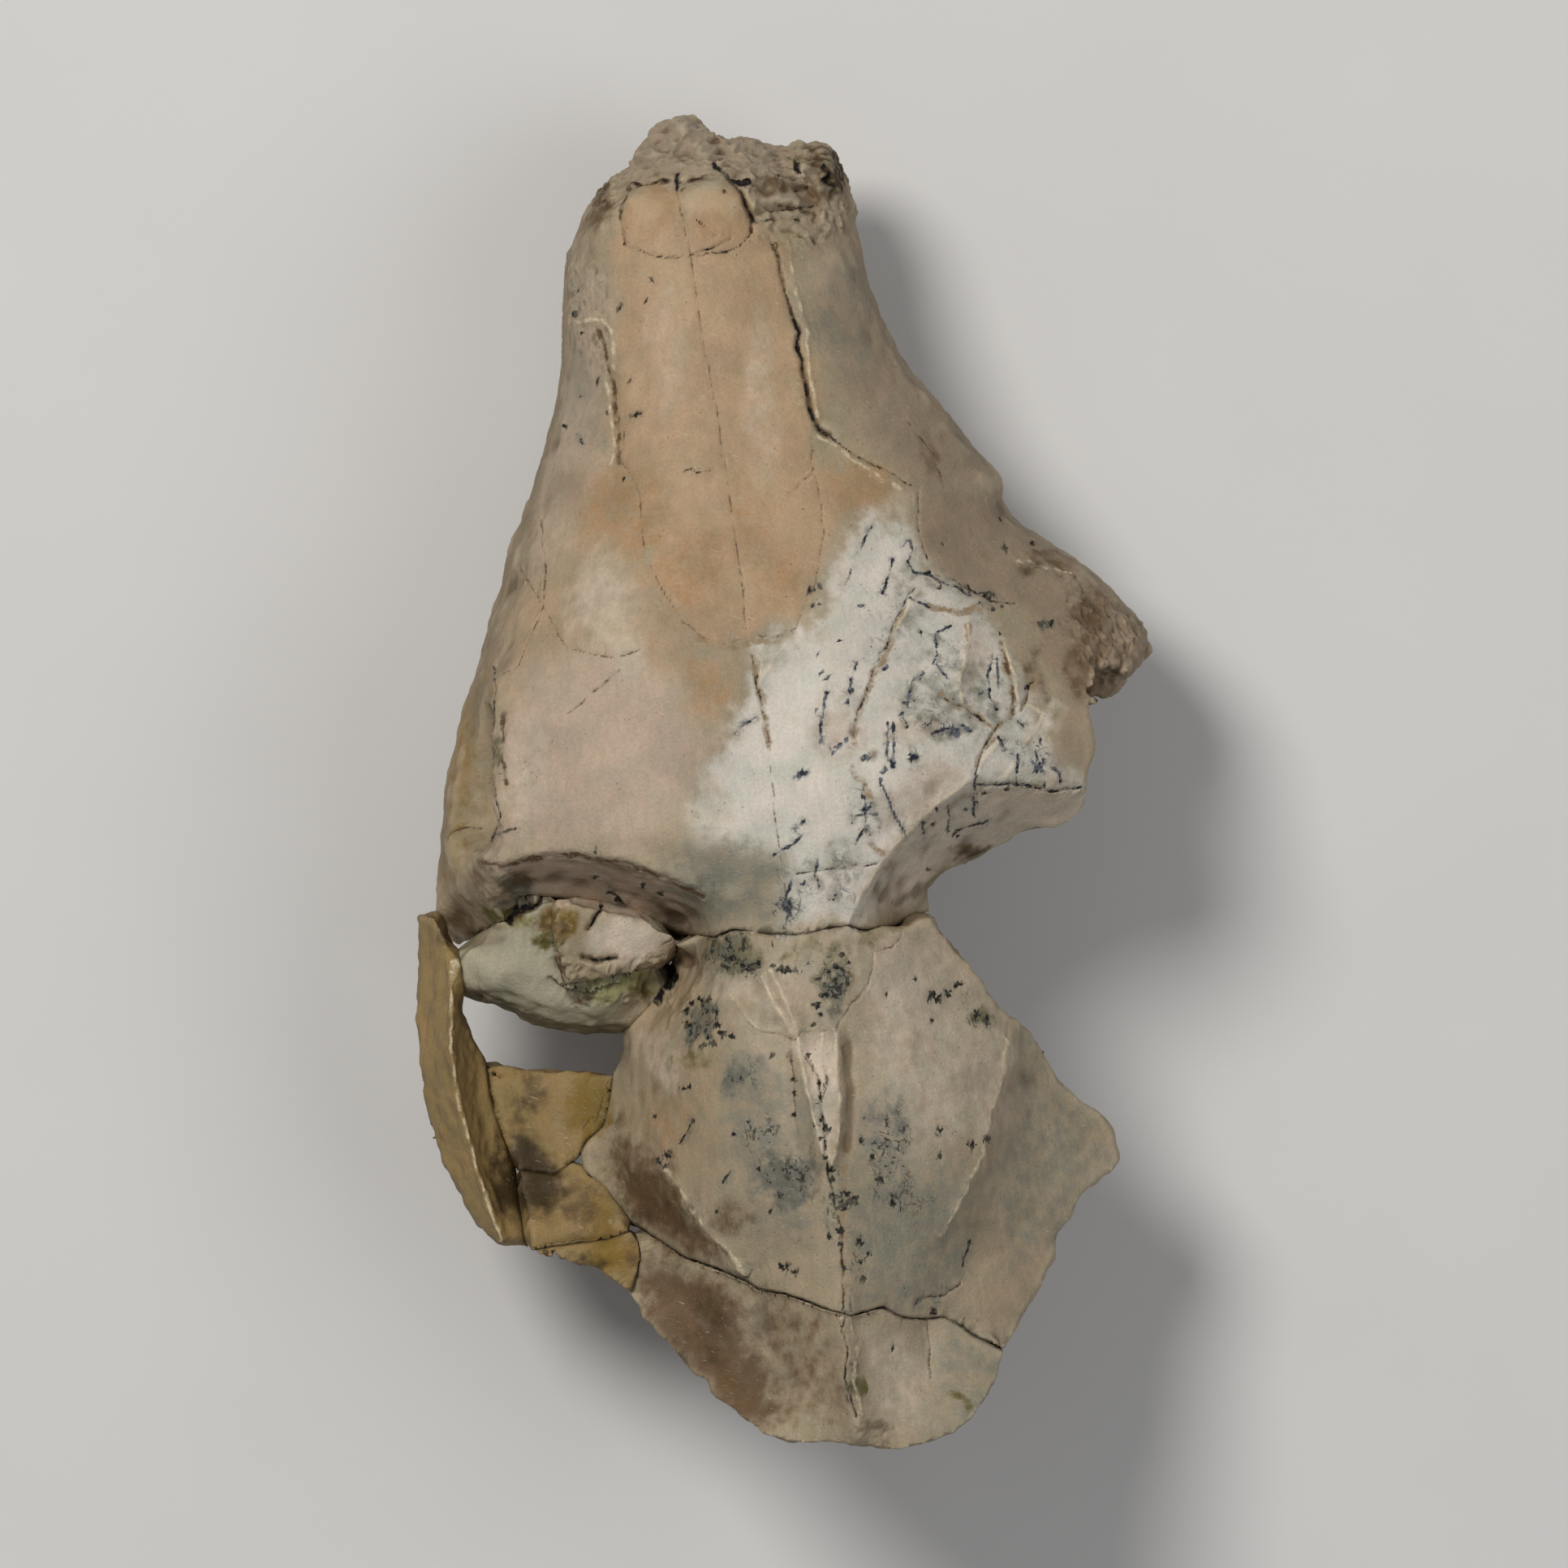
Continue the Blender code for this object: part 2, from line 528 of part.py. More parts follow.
def ellipsoid(name, centre, radii, segments=16, rings=10):
    bm = bmesh.new()
    bmesh.ops.create_uvsphere(bm, u_segments=segments, v_segments=rings, radius=1)
    place = Matrix.Translation(Vector(centre) * MM) @ Matrix.Diagonal((*(Vector(radii) * MM), 1))
    bmesh.ops.transform(bm, matrix=place, verts=bm.verts)
    mesh = bpy.data.meshes.new(name)
    bm.to_mesh(mesh)
    bm.free()
    obj = bpy.data.objects.new(name, mesh)
    bpy.context.collection.objects.link(obj)
    return obj


def loft(name, sections, sides=10):
    """Closed rod through oval sections: centre, half sizes along x and y."""
    verts = []
    for (cx, cy, cz), rx, ry in sections:
        for i in range(sides):
            a = math.tau * i / sides
            verts.append((cx + rx * math.cos(a), cy + ry * math.sin(a), cz))
    faces = []
    for s in range(len(sections) - 1):
        for i in range(sides):
            j = (i + 1) % sides
            faces.append((s * sides + i, s * sides + j, (s + 1) * sides + j, (s + 1) * sides + i))
    faces.append(tuple(range(sides)))
    faces.append(tuple(range((len(sections) - 1) * sides, len(sections) * sides)))
    return build(name, verts, faces)


def combine(obj, other, operation):
    """Boolean with a helper shape, which stays hidden as a wire guide."""
    other.hide_render = True
    other.display_type = "WIRE"
    mod = obj.modifiers.new(other.name, "BOOLEAN")
    mod.operation = operation
    mod.solver = "EXACT"
    mod.object = other


def material(name, colour, roughness):
    mat = bpy.data.materials.new(name)
    mat.use_nodes = True
    shader = mat.node_tree.nodes["Principled BSDF"]
    shader.inputs["Base Color"].default_value = (*colour, 1)
    shader.inputs["Roughness"].default_value = roughness
    shader.inputs["Metallic"].default_value = 0
    return mat


def dress(obj, mat, angle=40):
    obj.data.materials.clear()
    obj.data.materials.append(mat)
    obj.data.shade_smooth()
    obj.data.set_sharp_from_angle(angle=math.radians(angle))


def tooth_outline(length, width, pairs, grow):
    """Rounded rectangle seen from below, pinched between its pairs of cusps."""
    points = []
    notch = TOOTH_NOTCH * (pairs - 1)
    corner = 0.32 * min(length, width) + grow
    for sx, sy, start in ((1, 1, 0), (-1, 1, 90), (-1, -1, 180), (1, -1, 270)):
        cx = sx * (width / 2 + grow - corner)
        cy = sy * (length / 2 + grow - corner)
        for turn in (0, 45, 90):
            a = math.radians(start + turn)
            points.append((cx + corner * math.cos(a), cy + corner * math.sin(a)))
        if sx * sy < 0:
            points.append((sx * (width / 2 + grow - notch), 0))
    return points


def tooth_solid(name, centre, size, levels, grow=0.0):
    """Stack of rounded rectangles: height and share of the full section."""
    ring = tooth_outline(*size, grow)
    verts = []
    for z, share in levels:
        verts += [(centre[0] + share * x, centre[1] + share * y, z) for x, y in ring]
    n = len(ring)
    faces = [tuple(range(n)), tuple(range((len(levels) - 1) * n, len(levels) * n))]
    for s in range(len(levels) - 1):
        for i in range(n):
            j = (i + 1) % n
            faces.append((s * n + i, s * n + j, (s + 1) * n + j, (s + 1) * n + i))
    return build(name, verts, faces)


def teeth(face, enamel):
    """Each tooth stands in its own socket in the upper jaw."""
    crown = ((TOOTH_ROOT_TOP, 0.8), (ALVEOLAR_HEIGHT, 0.86), (5.5, 1.0), (1.2, 0.95), (0, 0.82))
    hole = ((TOOTH_ROOT_TOP + SOCKET_GAP, 0.8), (ALVEOLAR_HEIGHT, 0.86), (5.5, 1.0))
    for side, sign in (("left", -1), ("right", 1)):
        for name, y, out, length, width, pairs in TEETH:
            centre = (MIDLINE + sign * out, y)
            size = (length - TOOTH_SPACING, width, pairs)
            tooth = tooth_solid(f"{side}_{name}", centre, size, crown)
            dress(tooth, enamel)
            socket = tooth_solid(f"{side}_{name}_socket", centre, size, hole, SOCKET_GAP)
            combine(face, socket, "DIFFERENCE")


def shifted(line, dy):
    return tuple((x, y + dy) for x, y in line)


def shifted_x(line, dx):
    return tuple((x + dx, y) for x, y in line)


def make_face(bone, enamel):
    outline = SNOUT_FRONT + SNOUT_RIGHT + JUGAL_STUB + RIGHT_ORBIT_RIM
    outline += shifted(FRONT_CRACK, CRACK_GAP / 2) + LEFT_FRONTAL_WALL + LEFT_SIDE
    rim = LEFT_ORBIT_RIM[1:]
    lines = (LEFT_RIDGE, RIGHT_RIDGE, LEFT_GROOVE[1:], rim, shifted_x(rim, -3.2)) + jaw_lines()
    face = relief("face", outline[::-1], face_top, face_bottom, lines=lines)
    combine(face, ellipsoid("left_orbit", (-49, 8, 50.5), (13.5, 13.5, 10)), "DIFFERENCE")
    combine(face, ellipsoid("right_orbit", (50, 0, 47), (13, 12, 10)), "DIFFERENCE")
    teeth(face, enamel)
    dress(face, bone)
    return face


def make_braincase(bone):
    outline = shifted(FRONT_CRACK[::-1], -CRACK_GAP / 2) + RIGHT_BRAINCASE_SIDE
    outline += shifted(REAR_CRACK, CRACK_GAP / 2) + LEFT_BRAINCASE_SIDE
    crests = (CREST_LINE, shifted_x(CREST_LINE, 2.6), shifted_x(CREST_LINE, -2.6))
    ridges = (LEFT_TEMPORAL_RIDGE, RIGHT_TEMPORAL_RIDGE[:-1])
    case = relief("braincase", outline[::-1], braincase_top, braincase_bottom,
                  lines=crests + ridges)
    for side, sign in (("left", -1), ("right", 1)):
        bulla = ellipsoid(f"{side}_bulla", (sign * 16, -66, 31), (6.5, 9, 9), 12, 8)
        combine(case, bulla, "UNION")
        process = loft(f"{side}_process", (
            ((sign * 20, -73, 44), 5.5, 6.5), ((sign * 20.5, -74, 29), 5.5, 5.2),
            ((sign * 20, -74.5, 14), 4.4, 3.8), ((sign * 19.4, -74.5, 0), 3, 2.4)))
        combine(case, process, "UNION")
    dress(case, bone)
    return case


def make_occiput(bone):
    outline = shifted(REAR_CRACK[::-1], -CRACK_GAP / 2) + OCCIPUT_RIM
    crests = (REAR_CREST_LINE, shifted_x(REAR_CREST_LINE, 2.6), shifted_x(REAR_CREST_LINE, -2.6))
    rear = relief("occiput", outline, occiput_top, occiput_bottom, step=3.0, lines=crests)
    for side, sign in (("left", -1), ("right", 1)):
        knob = ellipsoid(f"{side}_condyle", (-1 + sign * 8.5, -95.5, 37), (6, 7, 8.5), 12, 8)
        combine(rear, knob, "UNION")
    canal = ellipsoid("foramen_magnum", (-1, -95, 46), (6.5, 8, 6.5), 12, 8)
    combine(rear, canal, "DIFFERENCE")
    dress(rear, bone)
    return rear


def make_left_arch(mats):
    arch = relief("left_arch", (ARCH_OUTER + ARCH_INNER)[::-1], arch_top, arch_bottom, step=4.2,
                  rings=(1.6,), lines=(ARCH_TOP_EDGE,))
    dress(arch, mats)
    for name, outline in (("glenoid_front", FRONT_PLATE), ("glenoid_rear", REAR_PLATE),
                          ("corner_chip", CORNER_PLATE)):
        plate = relief(name, outline, plate_top, plate_bottom, step=4.5, rings=(2.0,))
        dress(plate, mats)


def make_matrix(rock, bone):
    lump = relief("matrix_lump", LUMP, lump_top, lump_bottom, step=3.6, rings=(1.2, 3.4))
    dress(lump, rock)
    block = relief("bone_block", BLOCK, block_top, block_bottom, step=5, rings=(1.5,))
    dress(block, bone)


def main():
    for obj in list(bpy.data.objects):
        bpy.data.objects.remove(obj)
    bone = material("weathered_bone", (0.42, 0.33, 0.24), 0.65)
    ochre = material("ochre_bone", (0.31, 0.19, 0.07), 0.65)
    rock = material("grey_green_rock", (0.30, 0.30, 0.21), 0.8)
    enamel = material("tooth_enamel", (0.16, 0.11, 0.07), 0.35)
    make_face(bone, enamel)
    make_braincase(bone)
    make_occiput(bone)
    make_left_arch(ochre)
    make_matrix(rock, bone)


main()
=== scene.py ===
"""Looks of the fossil oreodont skull: fine bone surface, cracks, stains and cheek teeth.

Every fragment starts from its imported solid. Its surface is made even and fine, pressed in or
raised along the cracks, sutures and ridges, and coloured by soft patches and thin marks.
"""
import functools
import math

import bmesh
import bpy
import numpy as np
from mathutils.bvhtree import BVHTree
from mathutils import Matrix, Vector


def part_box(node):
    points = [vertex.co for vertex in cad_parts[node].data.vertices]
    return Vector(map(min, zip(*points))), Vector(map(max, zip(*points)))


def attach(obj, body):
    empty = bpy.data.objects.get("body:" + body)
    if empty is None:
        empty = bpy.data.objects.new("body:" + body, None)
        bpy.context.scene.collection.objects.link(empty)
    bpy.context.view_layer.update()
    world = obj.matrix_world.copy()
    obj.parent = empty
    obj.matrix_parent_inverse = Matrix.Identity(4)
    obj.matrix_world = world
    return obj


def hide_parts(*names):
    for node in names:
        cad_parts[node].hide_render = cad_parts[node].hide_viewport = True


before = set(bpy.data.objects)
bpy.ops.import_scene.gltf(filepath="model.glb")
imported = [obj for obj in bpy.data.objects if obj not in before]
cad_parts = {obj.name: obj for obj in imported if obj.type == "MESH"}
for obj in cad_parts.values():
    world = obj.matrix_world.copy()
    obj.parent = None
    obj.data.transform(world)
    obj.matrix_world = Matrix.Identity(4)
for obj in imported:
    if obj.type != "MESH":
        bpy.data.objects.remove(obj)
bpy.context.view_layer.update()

MM = 0.001
BODY = "root"
FRAGMENTS = ("face", "braincase", "occiput", "left_arch", "glenoid_front", "glenoid_rear",
             "corner_chip", "matrix_lump", "bone_block")

# The photograph: its size and middle in pixels, millimetres in a pixel, and how the skull lies in it
PHOTO_WIDTH = 1932
PHOTO_MIDDLE = (966, 961)
PIXEL = 0.128
TURN = math.radians(8.1)
SHIFT = (1.5235, 0.1792)

# Edge lengths of the fine surfaces, in millimetres
FACE_VOXEL = 1.4
CASE_VOXEL = 1.0
SMALL_VOXEL = 0.6
TOOTH_VOXEL = 0.55
ROUGH_EDGE = 0.55
MARK_EDGE = 0.3
# Longer than any edge or gap that matters, in millimetres
FAR = 9.0
# Fragments lie closer than this where they were glued, and this share of the gap is closed
GLUED = 3.6
CLOSED = 0.62
# How far a fine surface may stand out of the box of its solid, in millimetres
SLACK = 0.4
# How far the worn valleys of a tooth are pressed in, in millimetres
VALLEY = 1.25

# Lines that colour the surface and also shape it, in photograph pixels, x and y in turn
RIGHT_FRONTAL_RIM = (
    1195, 962, 1172, 978, 1147, 996, 1131, 1012, 1111, 1033, 1093, 1055, 1074, 1082, 1056, 1110,
     1044, 1134,
)
ARCH_RIM = (556, 1182, 556, 1244, 555, 1293, 563, 1351, 575, 1397, 587, 1443, 602, 1488, 618, 1531)
LEFT_CHEEK_SUTURE = (665, 640, 672, 700, 668, 750, 640, 820, 620, 830)
CREST_LEFT_SIDE = (983, 1276, 992, 1332, 1002, 1377, 1018, 1423)
CREST_RIGHT_SIDE = (1028, 1270, 1031, 1312, 1035, 1358, 1031, 1406, 1025, 1432)
CREST_FORK = (950, 1195, 968, 1232, 983, 1268)
CREST_FORK_BESIDE = (940, 1202, 955, 1240, 975, 1270)
RIGHT_TEMPORAL_EDGE = (
    1240, 1280, 1239, 1322, 1227, 1354, 1218, 1384, 1210, 1423, 1191, 1462, 1178, 1491, 1158, 1520,
)
# Lines on the upper side by kind, each in photograph pixels, x and y in turn
OPEN_CRACKS = (
    (978, 396, 985, 409, 983, 429, 989, 457, 997, 497, 1001, 515, 1010, 529, 1022, 536),
    (832, 1152, 836, 1180, 834, 1212, 812, 1240), (834, 214, 834, 232), (718, 1180, 738, 1183, 760, 1180),
    (741, 1117, 734, 1130, 726, 1145), (581, 1155, 611, 1143, 632, 1141, 638, 1127, 667, 1111),
    (879, 203, 890, 211, 900, 222, 911, 227, 920, 225), (911, 235, 918, 248, 924, 259, 929, 270),
    (972, 192, 979, 201, 985, 211), (1013, 205, 1022, 215, 1015, 222, 1022, 227), (981, 233, 991, 231),
)
CRACKS = (
    (929, 823, 933, 835, 934, 847, 940, 880),
    (1022, 536, 1047, 558, 1062, 565, 1087, 579, 1115, 595, 1132, 600, 1131, 652, 1141, 689),
    (769, 300, 785, 308, 806, 316, 825, 317, 848, 314, 875, 307, 884, 302, 900, 292),
    (860, 315, 879, 312, 896, 309, 913, 302, 923, 290, 928, 283), (856, 269, 869, 279, 882, 289),
    (840, 582, 851, 578, 861, 583, 870, 581, 879, 579),
    (1128, 723, 1120, 734, 1111, 748, 1105, 759, 1099, 775, 1097, 782, 1094, 790, 1092, 799, 1084, 807,
     1076, 831, 1066, 856, 1057, 875, 1054, 891, 1049, 912),
    (1158, 857, 1175, 868, 1186, 872, 1196, 879, 1206, 885, 1220, 894),
    (1275, 838, 1267, 847, 1265, 864, 1258, 875, 1247, 885, 1234, 891, 1226, 900, 1216, 912, 1209, 928,
     1204, 942, 1201, 956), (658, 1098, 683, 1104, 713, 1108, 752, 1115, 791, 1131, 824, 1147),
    (1209, 967, 1234, 967, 1256, 965, 1274, 969, 1288, 975, 1306, 973, 1316, 972),
    (1337, 845, 1346, 856, 1350, 866), (1171, 713, 1196, 728, 1220, 741, 1251, 744),
    (609, 822, 610, 853, 609, 914, 607, 960, 618, 1006, 604, 1037), (554, 1029, 571, 1020, 593, 1021),
    (731, 1446, 758, 1477, 783, 1501),
    (994, 1302, 1009, 1333, 1015, 1379, 1020, 1440, 1027, 1471, 1037, 1517, 1038, 1578, 1040, 1608),
    (1033, 1629, 1044, 1659, 1040, 1696, 1048, 1718, 1055, 1744), (1171, 1031, 1190, 1020, 1216, 1011),
    (778, 223, 792, 226, 803, 227, 815, 223, 827, 220), (839, 227, 850, 224, 859, 219, 874, 213),
    (929, 270, 940, 274, 955, 270, 985, 271),
    (933, 264, 944, 261, 955, 257, 974, 257, 987, 255, 1000, 253),
    (942, 216, 960, 218, 978, 220, 989, 219), (950, 296, 959, 327, 970, 368, 978, 396),
    (980, 1077, 1009, 1072, 1038, 1069, 1080, 1063), (1128, 1600, 1145, 1597, 1163, 1594, 1184, 1580),
    (1065, 966, 1062, 990, 1066, 1010),
)
SUTURES = (
    (834, 235, 844, 288, 848, 297, 851, 316, 859, 371, 867, 426, 874, 463, 882, 497, 888, 548, 896, 588,
     899, 605, 900, 630, 909, 685, 915, 722, 918, 774),
    (757, 470, 758, 551, 775, 584, 787, 605, 790, 642, 795, 685, 807, 712, 824, 740, 842, 767, 860, 781,
     885, 792, 900, 793, 917, 786),
    (1001, 541, 1000, 569, 1012, 621, 1015, 654, 1010, 691, 1004, 718, 992, 746, 980, 774, 955, 786,
     934, 783), (972, 608, 990, 592, 1004, 578),
    (925, 792, 929, 823, 934, 847, 943, 884, 946, 920, 955, 1000, 970, 1120), LEFT_CHEEK_SUTURE,
    (900, 1228, 918, 1254, 940, 1273, 960, 1273, 979, 1281, 989, 1270, 1012, 1270, 1028, 1270, 1048, 1237,
     1067, 1218, 1074, 1195, 1077, 1172, 1100, 1166, 1110, 1150), (1142, 1629, 1145, 1665, 1147, 1696),
    (755, 496, 758, 510, 757, 525), (768, 525, 769, 540, 769, 555), (1020, 262, 1034, 281, 1051, 296),
    (1163, 600, 1150, 560, 1120, 520), (640, 700, 700, 800, 760, 812, 790, 800),
    (700, 880, 736, 850, 764, 826), (997, 1299, 1009, 1332, 1012, 1358, 1018, 1390, 1020, 1439),
    (976, 1306, 978, 1330, 979, 1371, 984, 1400),
)
# Pale lines along crests, rims and crack edges: pale bone, brightened further as a painted highlight.
CREAM_AND_HIGHLIGHT_LINES = (
    (970, 298, 976, 330, 981, 359, 987, 388, 996, 410, 995, 440, 1001, 480, 1008, 512),
    (1010, 538, 1030, 549, 1050, 566, 1085, 588, 1110, 602),
    (706, 395, 741, 393, 751, 406, 755, 427, 757, 455),
    (747, 470, 751, 496, 755, 525, 758, 551, 754, 572),
    (1133, 726, 1125, 738, 1116, 752, 1108, 766, 1103, 784), (1322, 975, 1338, 974), RIGHT_FRONTAL_RIM,
    (925, 792, 938, 815, 936, 846, 950, 820, 966, 795),
    (903, 1149, 952, 1155, 982, 1155, 1013, 1149, 1044, 1144),
    (1046, 1629, 1055, 1659, 1052, 1700, 1062, 1740), ARCH_RIM,
    (860, 1566, 903, 1580, 925, 1592, 966, 1600, 1010, 1618, 1048, 1626, 1075, 1620),
    (1254, 690, 1290, 697, 1322, 706), (1193, 761, 1193, 790, 1187, 819, 1182, 840, 1185, 866),
    (1236, 797, 1243, 815, 1250, 834, 1254, 863, 1254, 881), (1235, 903, 1221, 925, 1206, 945),
    (1267, 869, 1285, 878, 1297, 881), (1283, 881, 1273, 904, 1264, 913), (1250, 940, 1238, 960),
    CREST_LEFT_SIDE, CREST_FORK, CREST_FORK_BESIDE, (1012, 1272, 1012, 1300, 1014, 1330),
    CREST_RIGHT_SIDE, (900, 1226, 918, 1251, 940, 1270, 960, 1270), RIGHT_TEMPORAL_EDGE,
    (820, 1442, 839, 1468, 852, 1491, 869, 1514, 880, 1524, 898, 1541, 917, 1559),
)
INK_STROKES = (
    (776, 513, 790, 511), (713, 536, 716, 545), (611, 1029, 635, 1021), (750, 1095, 775, 1109),
    (955, 1052, 975, 1040, 990, 1028), (975, 1080, 970, 1100, 968, 1135),
    (1009, 1055, 1005, 1075, 1010, 1098), (904, 905, 918, 893, 930, 885), (855, 1379, 838, 1410),
    (1194, 1528, 1185, 1559), (1074, 649, 1065, 664, 1058, 679), (1049, 702, 1046, 711, 1040, 721),
    (1100, 690, 1096, 708, 1088, 731),
    (1112, 673, 1116, 667, 1122, 667, 1124, 679, 1118, 693, 1127, 706, 1144, 708, 1162, 717, 1182, 726,
     1194, 736), (998, 721, 992, 737), (1121, 737, 1144, 748), (1017, 855, 1012, 884, 1011, 916),
    (1055, 816, 1049, 834, 1047, 855), (1138, 830, 1124, 840, 1119, 869),
    (1153, 781, 1153, 808, 1149, 819), (1153, 819, 1168, 837), (1156, 780, 1171, 771),
    (1094, 890, 1093, 931, 1100, 945), (1100, 890, 1101, 940), (1109, 878, 1115, 890),
    (1132, 885, 1143, 893), (1147, 904, 1162, 899, 1185, 893, 1197, 899),
    (1085, 960, 1091, 981, 1097, 989), (1098, 992, 1106, 1013, 1115, 1031),
    (1065, 981, 1068, 998, 1065, 1019, 1053, 1039), (1053, 1004, 1080, 1004), (980, 1020, 992, 1011),
    (1250, 888, 1261, 894), (1229, 907, 1238, 925), (1253, 931, 1253, 969), (1270, 937, 1279, 945),
    (1276, 931, 1285, 951), (1297, 945, 1305, 951, 1307, 963),
    (1203, 966, 1229, 967, 1253, 967, 1273, 970, 1291, 975, 1317, 972, 1332, 969),
    (1203, 957, 1198, 984, 1201, 1007), (1135, 1013, 1138, 1030), (1168, 992, 1169, 1025),
    (1206, 1016, 1216, 1011), (1223, 811, 1217, 831, 1219, 855, 1226, 875), (1229, 812, 1230, 855),
    (1193, 722, 1196, 736), (1205, 731, 1222, 730), (838, 1340, 846, 1342), (890, 1455, 901, 1442),
    (1096, 1470, 1108, 1476, 1108, 1490), (918, 1563, 926, 1562), (1164, 1220, 1168, 1228),
)
BROWN_LINES = (
    # This first line browns the left side of the trough right of the nasals: painted shade.
    (955, 300, 957, 311, 963, 340, 970, 369, 978, 396),
    (738, 405, 748, 440, 757, 480, 762, 530, 764, 570),
    (597, 1146, 642, 1129, 668, 1109, 712, 1107, 755, 1117, 794, 1132),
    (1233, 793, 1239, 815, 1245, 833, 1248, 853, 1249, 880), (620, 880, 619, 925, 624, 965),
    (595, 1062, 622, 1068, 654, 1058, 683, 1052, 709, 1054, 734, 1060, 764, 1061, 785, 1070, 807, 1077,
     830, 1086, 846, 1094, 867, 1104), (961, 252, 985, 258, 1003, 264),
    (770, 300, 764, 260, 777, 224, 798, 226, 825, 221),
    (839, 231, 860, 219, 879, 214, 890, 216, 902, 227, 913, 242, 921, 254, 925, 271, 926, 283),
    (568, 1182, 593, 1305, 602, 1351, 615, 1391, 630, 1436), (690, 1180, 700, 1232, 720, 1236),
    (940, 1582, 963, 1590, 996, 1602, 1015, 1611, 1048, 1618, 1080, 1610, 1106, 1620),
)
CLAY_BANDS = (
    (1276, 837, 1269, 855, 1261, 869, 1244, 884, 1229, 897), (1226, 898, 1214, 919, 1203, 943),
    (1160, 855, 1173, 869, 1191, 875, 1209, 887, 1223, 896),
    (1232, 793, 1238, 811, 1245, 834, 1248, 863, 1248, 881),
    (1112, 752, 1103, 775, 1094, 802, 1080, 825, 1068, 855, 1056, 884, 1052, 913),
    (1050, 948, 1065, 966, 1071, 981), (1144, 748, 1168, 752, 1185, 755, 1215, 745),
    (929, 823, 937, 850, 943, 884, 946, 920), (1193, 770, 1190, 800), (1074, 1039, 1094, 1060),
    (860, 786, 885, 797, 905, 797, 925, 792, 950, 790, 975, 779), (1040, 1440, 1038, 1500, 1040, 1600),
)
# Ridges and steps that shape the upper side: half width, rise in millimetres, photograph pixels
RIDGES = (
    (1.6, 2.2, (838, 150, 852, 168, 866, 190, 884, 204)), (1.4, 1.6, (800, 190, 822, 178, 840, 160)),
    (1.2, 1.4, (905, 180, 925, 186, 948, 190)), (1.2, -1.8, (884, 176, 892, 196, 905, 214)),
    (1.5, -2.2, (960, 195, 972, 215, 990, 232, 1000, 250)),
    (1.0, -1.6, (1002, 180, 1008, 200, 1000, 222)), (1.3, 1.5, (930, 252, 955, 244, 985, 250)),
    (1.4, -1.4, (770, 226, 800, 232, 828, 230, 850, 226, 880, 218, 905, 232)),
    (4.0, -0.7, (740, 500, 745, 600, 700, 700, 668, 780)), (5.0, 0.7, (742, 690, 745, 740, 760, 800)),
    (3.5, -0.6, (925, 800, 945, 900, 955, 1000, 968, 1110)),
    (4.0, 0.6, (1130, 1230, 1120, 1330, 1090, 1440)), (3.5, -0.8, (1215, 1440, 1240, 1400, 1262, 1340)),
    (1.6, 0.8, RIGHT_FRONTAL_RIM),
    (1.6, 0.9, (595, 1056, 622, 1062, 654, 1052, 683, 1046, 709, 1048, 734, 1054, 764, 1055, 785, 1064,
     807, 1071, 830, 1080, 846, 1088, 867, 1098)), (1.0, 0.7, ARCH_RIM),
    (1.2, 0.6, (813, 1440, 838, 1468, 853, 1495, 871, 1514, 896, 1538, 911, 1556)),
    (1.5, 0.8, (1040, 1608, 1033, 1629, 1044, 1659, 1040, 1696, 1048, 1718)),
    (1.2, 0.45, (1192, 768, 1194, 789, 1189, 815, 1184, 838, 1184, 853)),
    (1.3, 0.5, (1237, 793, 1243, 815, 1249, 833, 1252, 853, 1253, 870)),
    (2.5, 0.5, (1060, 662, 1045, 700, 1030, 740, 1020, 790, 1022, 840)),
    (2.2, -0.8, (822, 1574, 860, 1620, 900, 1666, 922, 1718)), (1.8, -0.6, (1142, 1629, 1147, 1696)),
    (1.5, -0.9, (757, 470, 762, 500, 763, 540, 760, 570)), (2.5, -0.8, LEFT_CHEEK_SUTURE),
    (3.0, -0.7, (1082, 905, 1100, 870, 1120, 830, 1150, 790)),
    (3.0, -0.6, (1150, 905, 1165, 935, 1150, 965)), (3.5, -0.6, (900, 1060, 940, 1090, 930, 1130)),
    (1.0, 0.9, CREST_LEFT_SIDE), (1.0, 0.8, CREST_RIGHT_SIDE), (0.8, 0.6, CREST_FORK),
    (0.8, 0.5, CREST_FORK_BESIDE), (1.4, 0.7, RIGHT_TEMPORAL_EDGE),
    (1.0, -0.7, (1042, 1290, 1046, 1350, 1042, 1410)), (0.9, -0.5, (974, 1300, 976, 1360, 984, 1410)),
    (1.6, 1.6, (842, 144, 833, 175, 812, 196)), (0.9, -0.8, (1256, 702, 1290, 706, 1322, 712)),
)
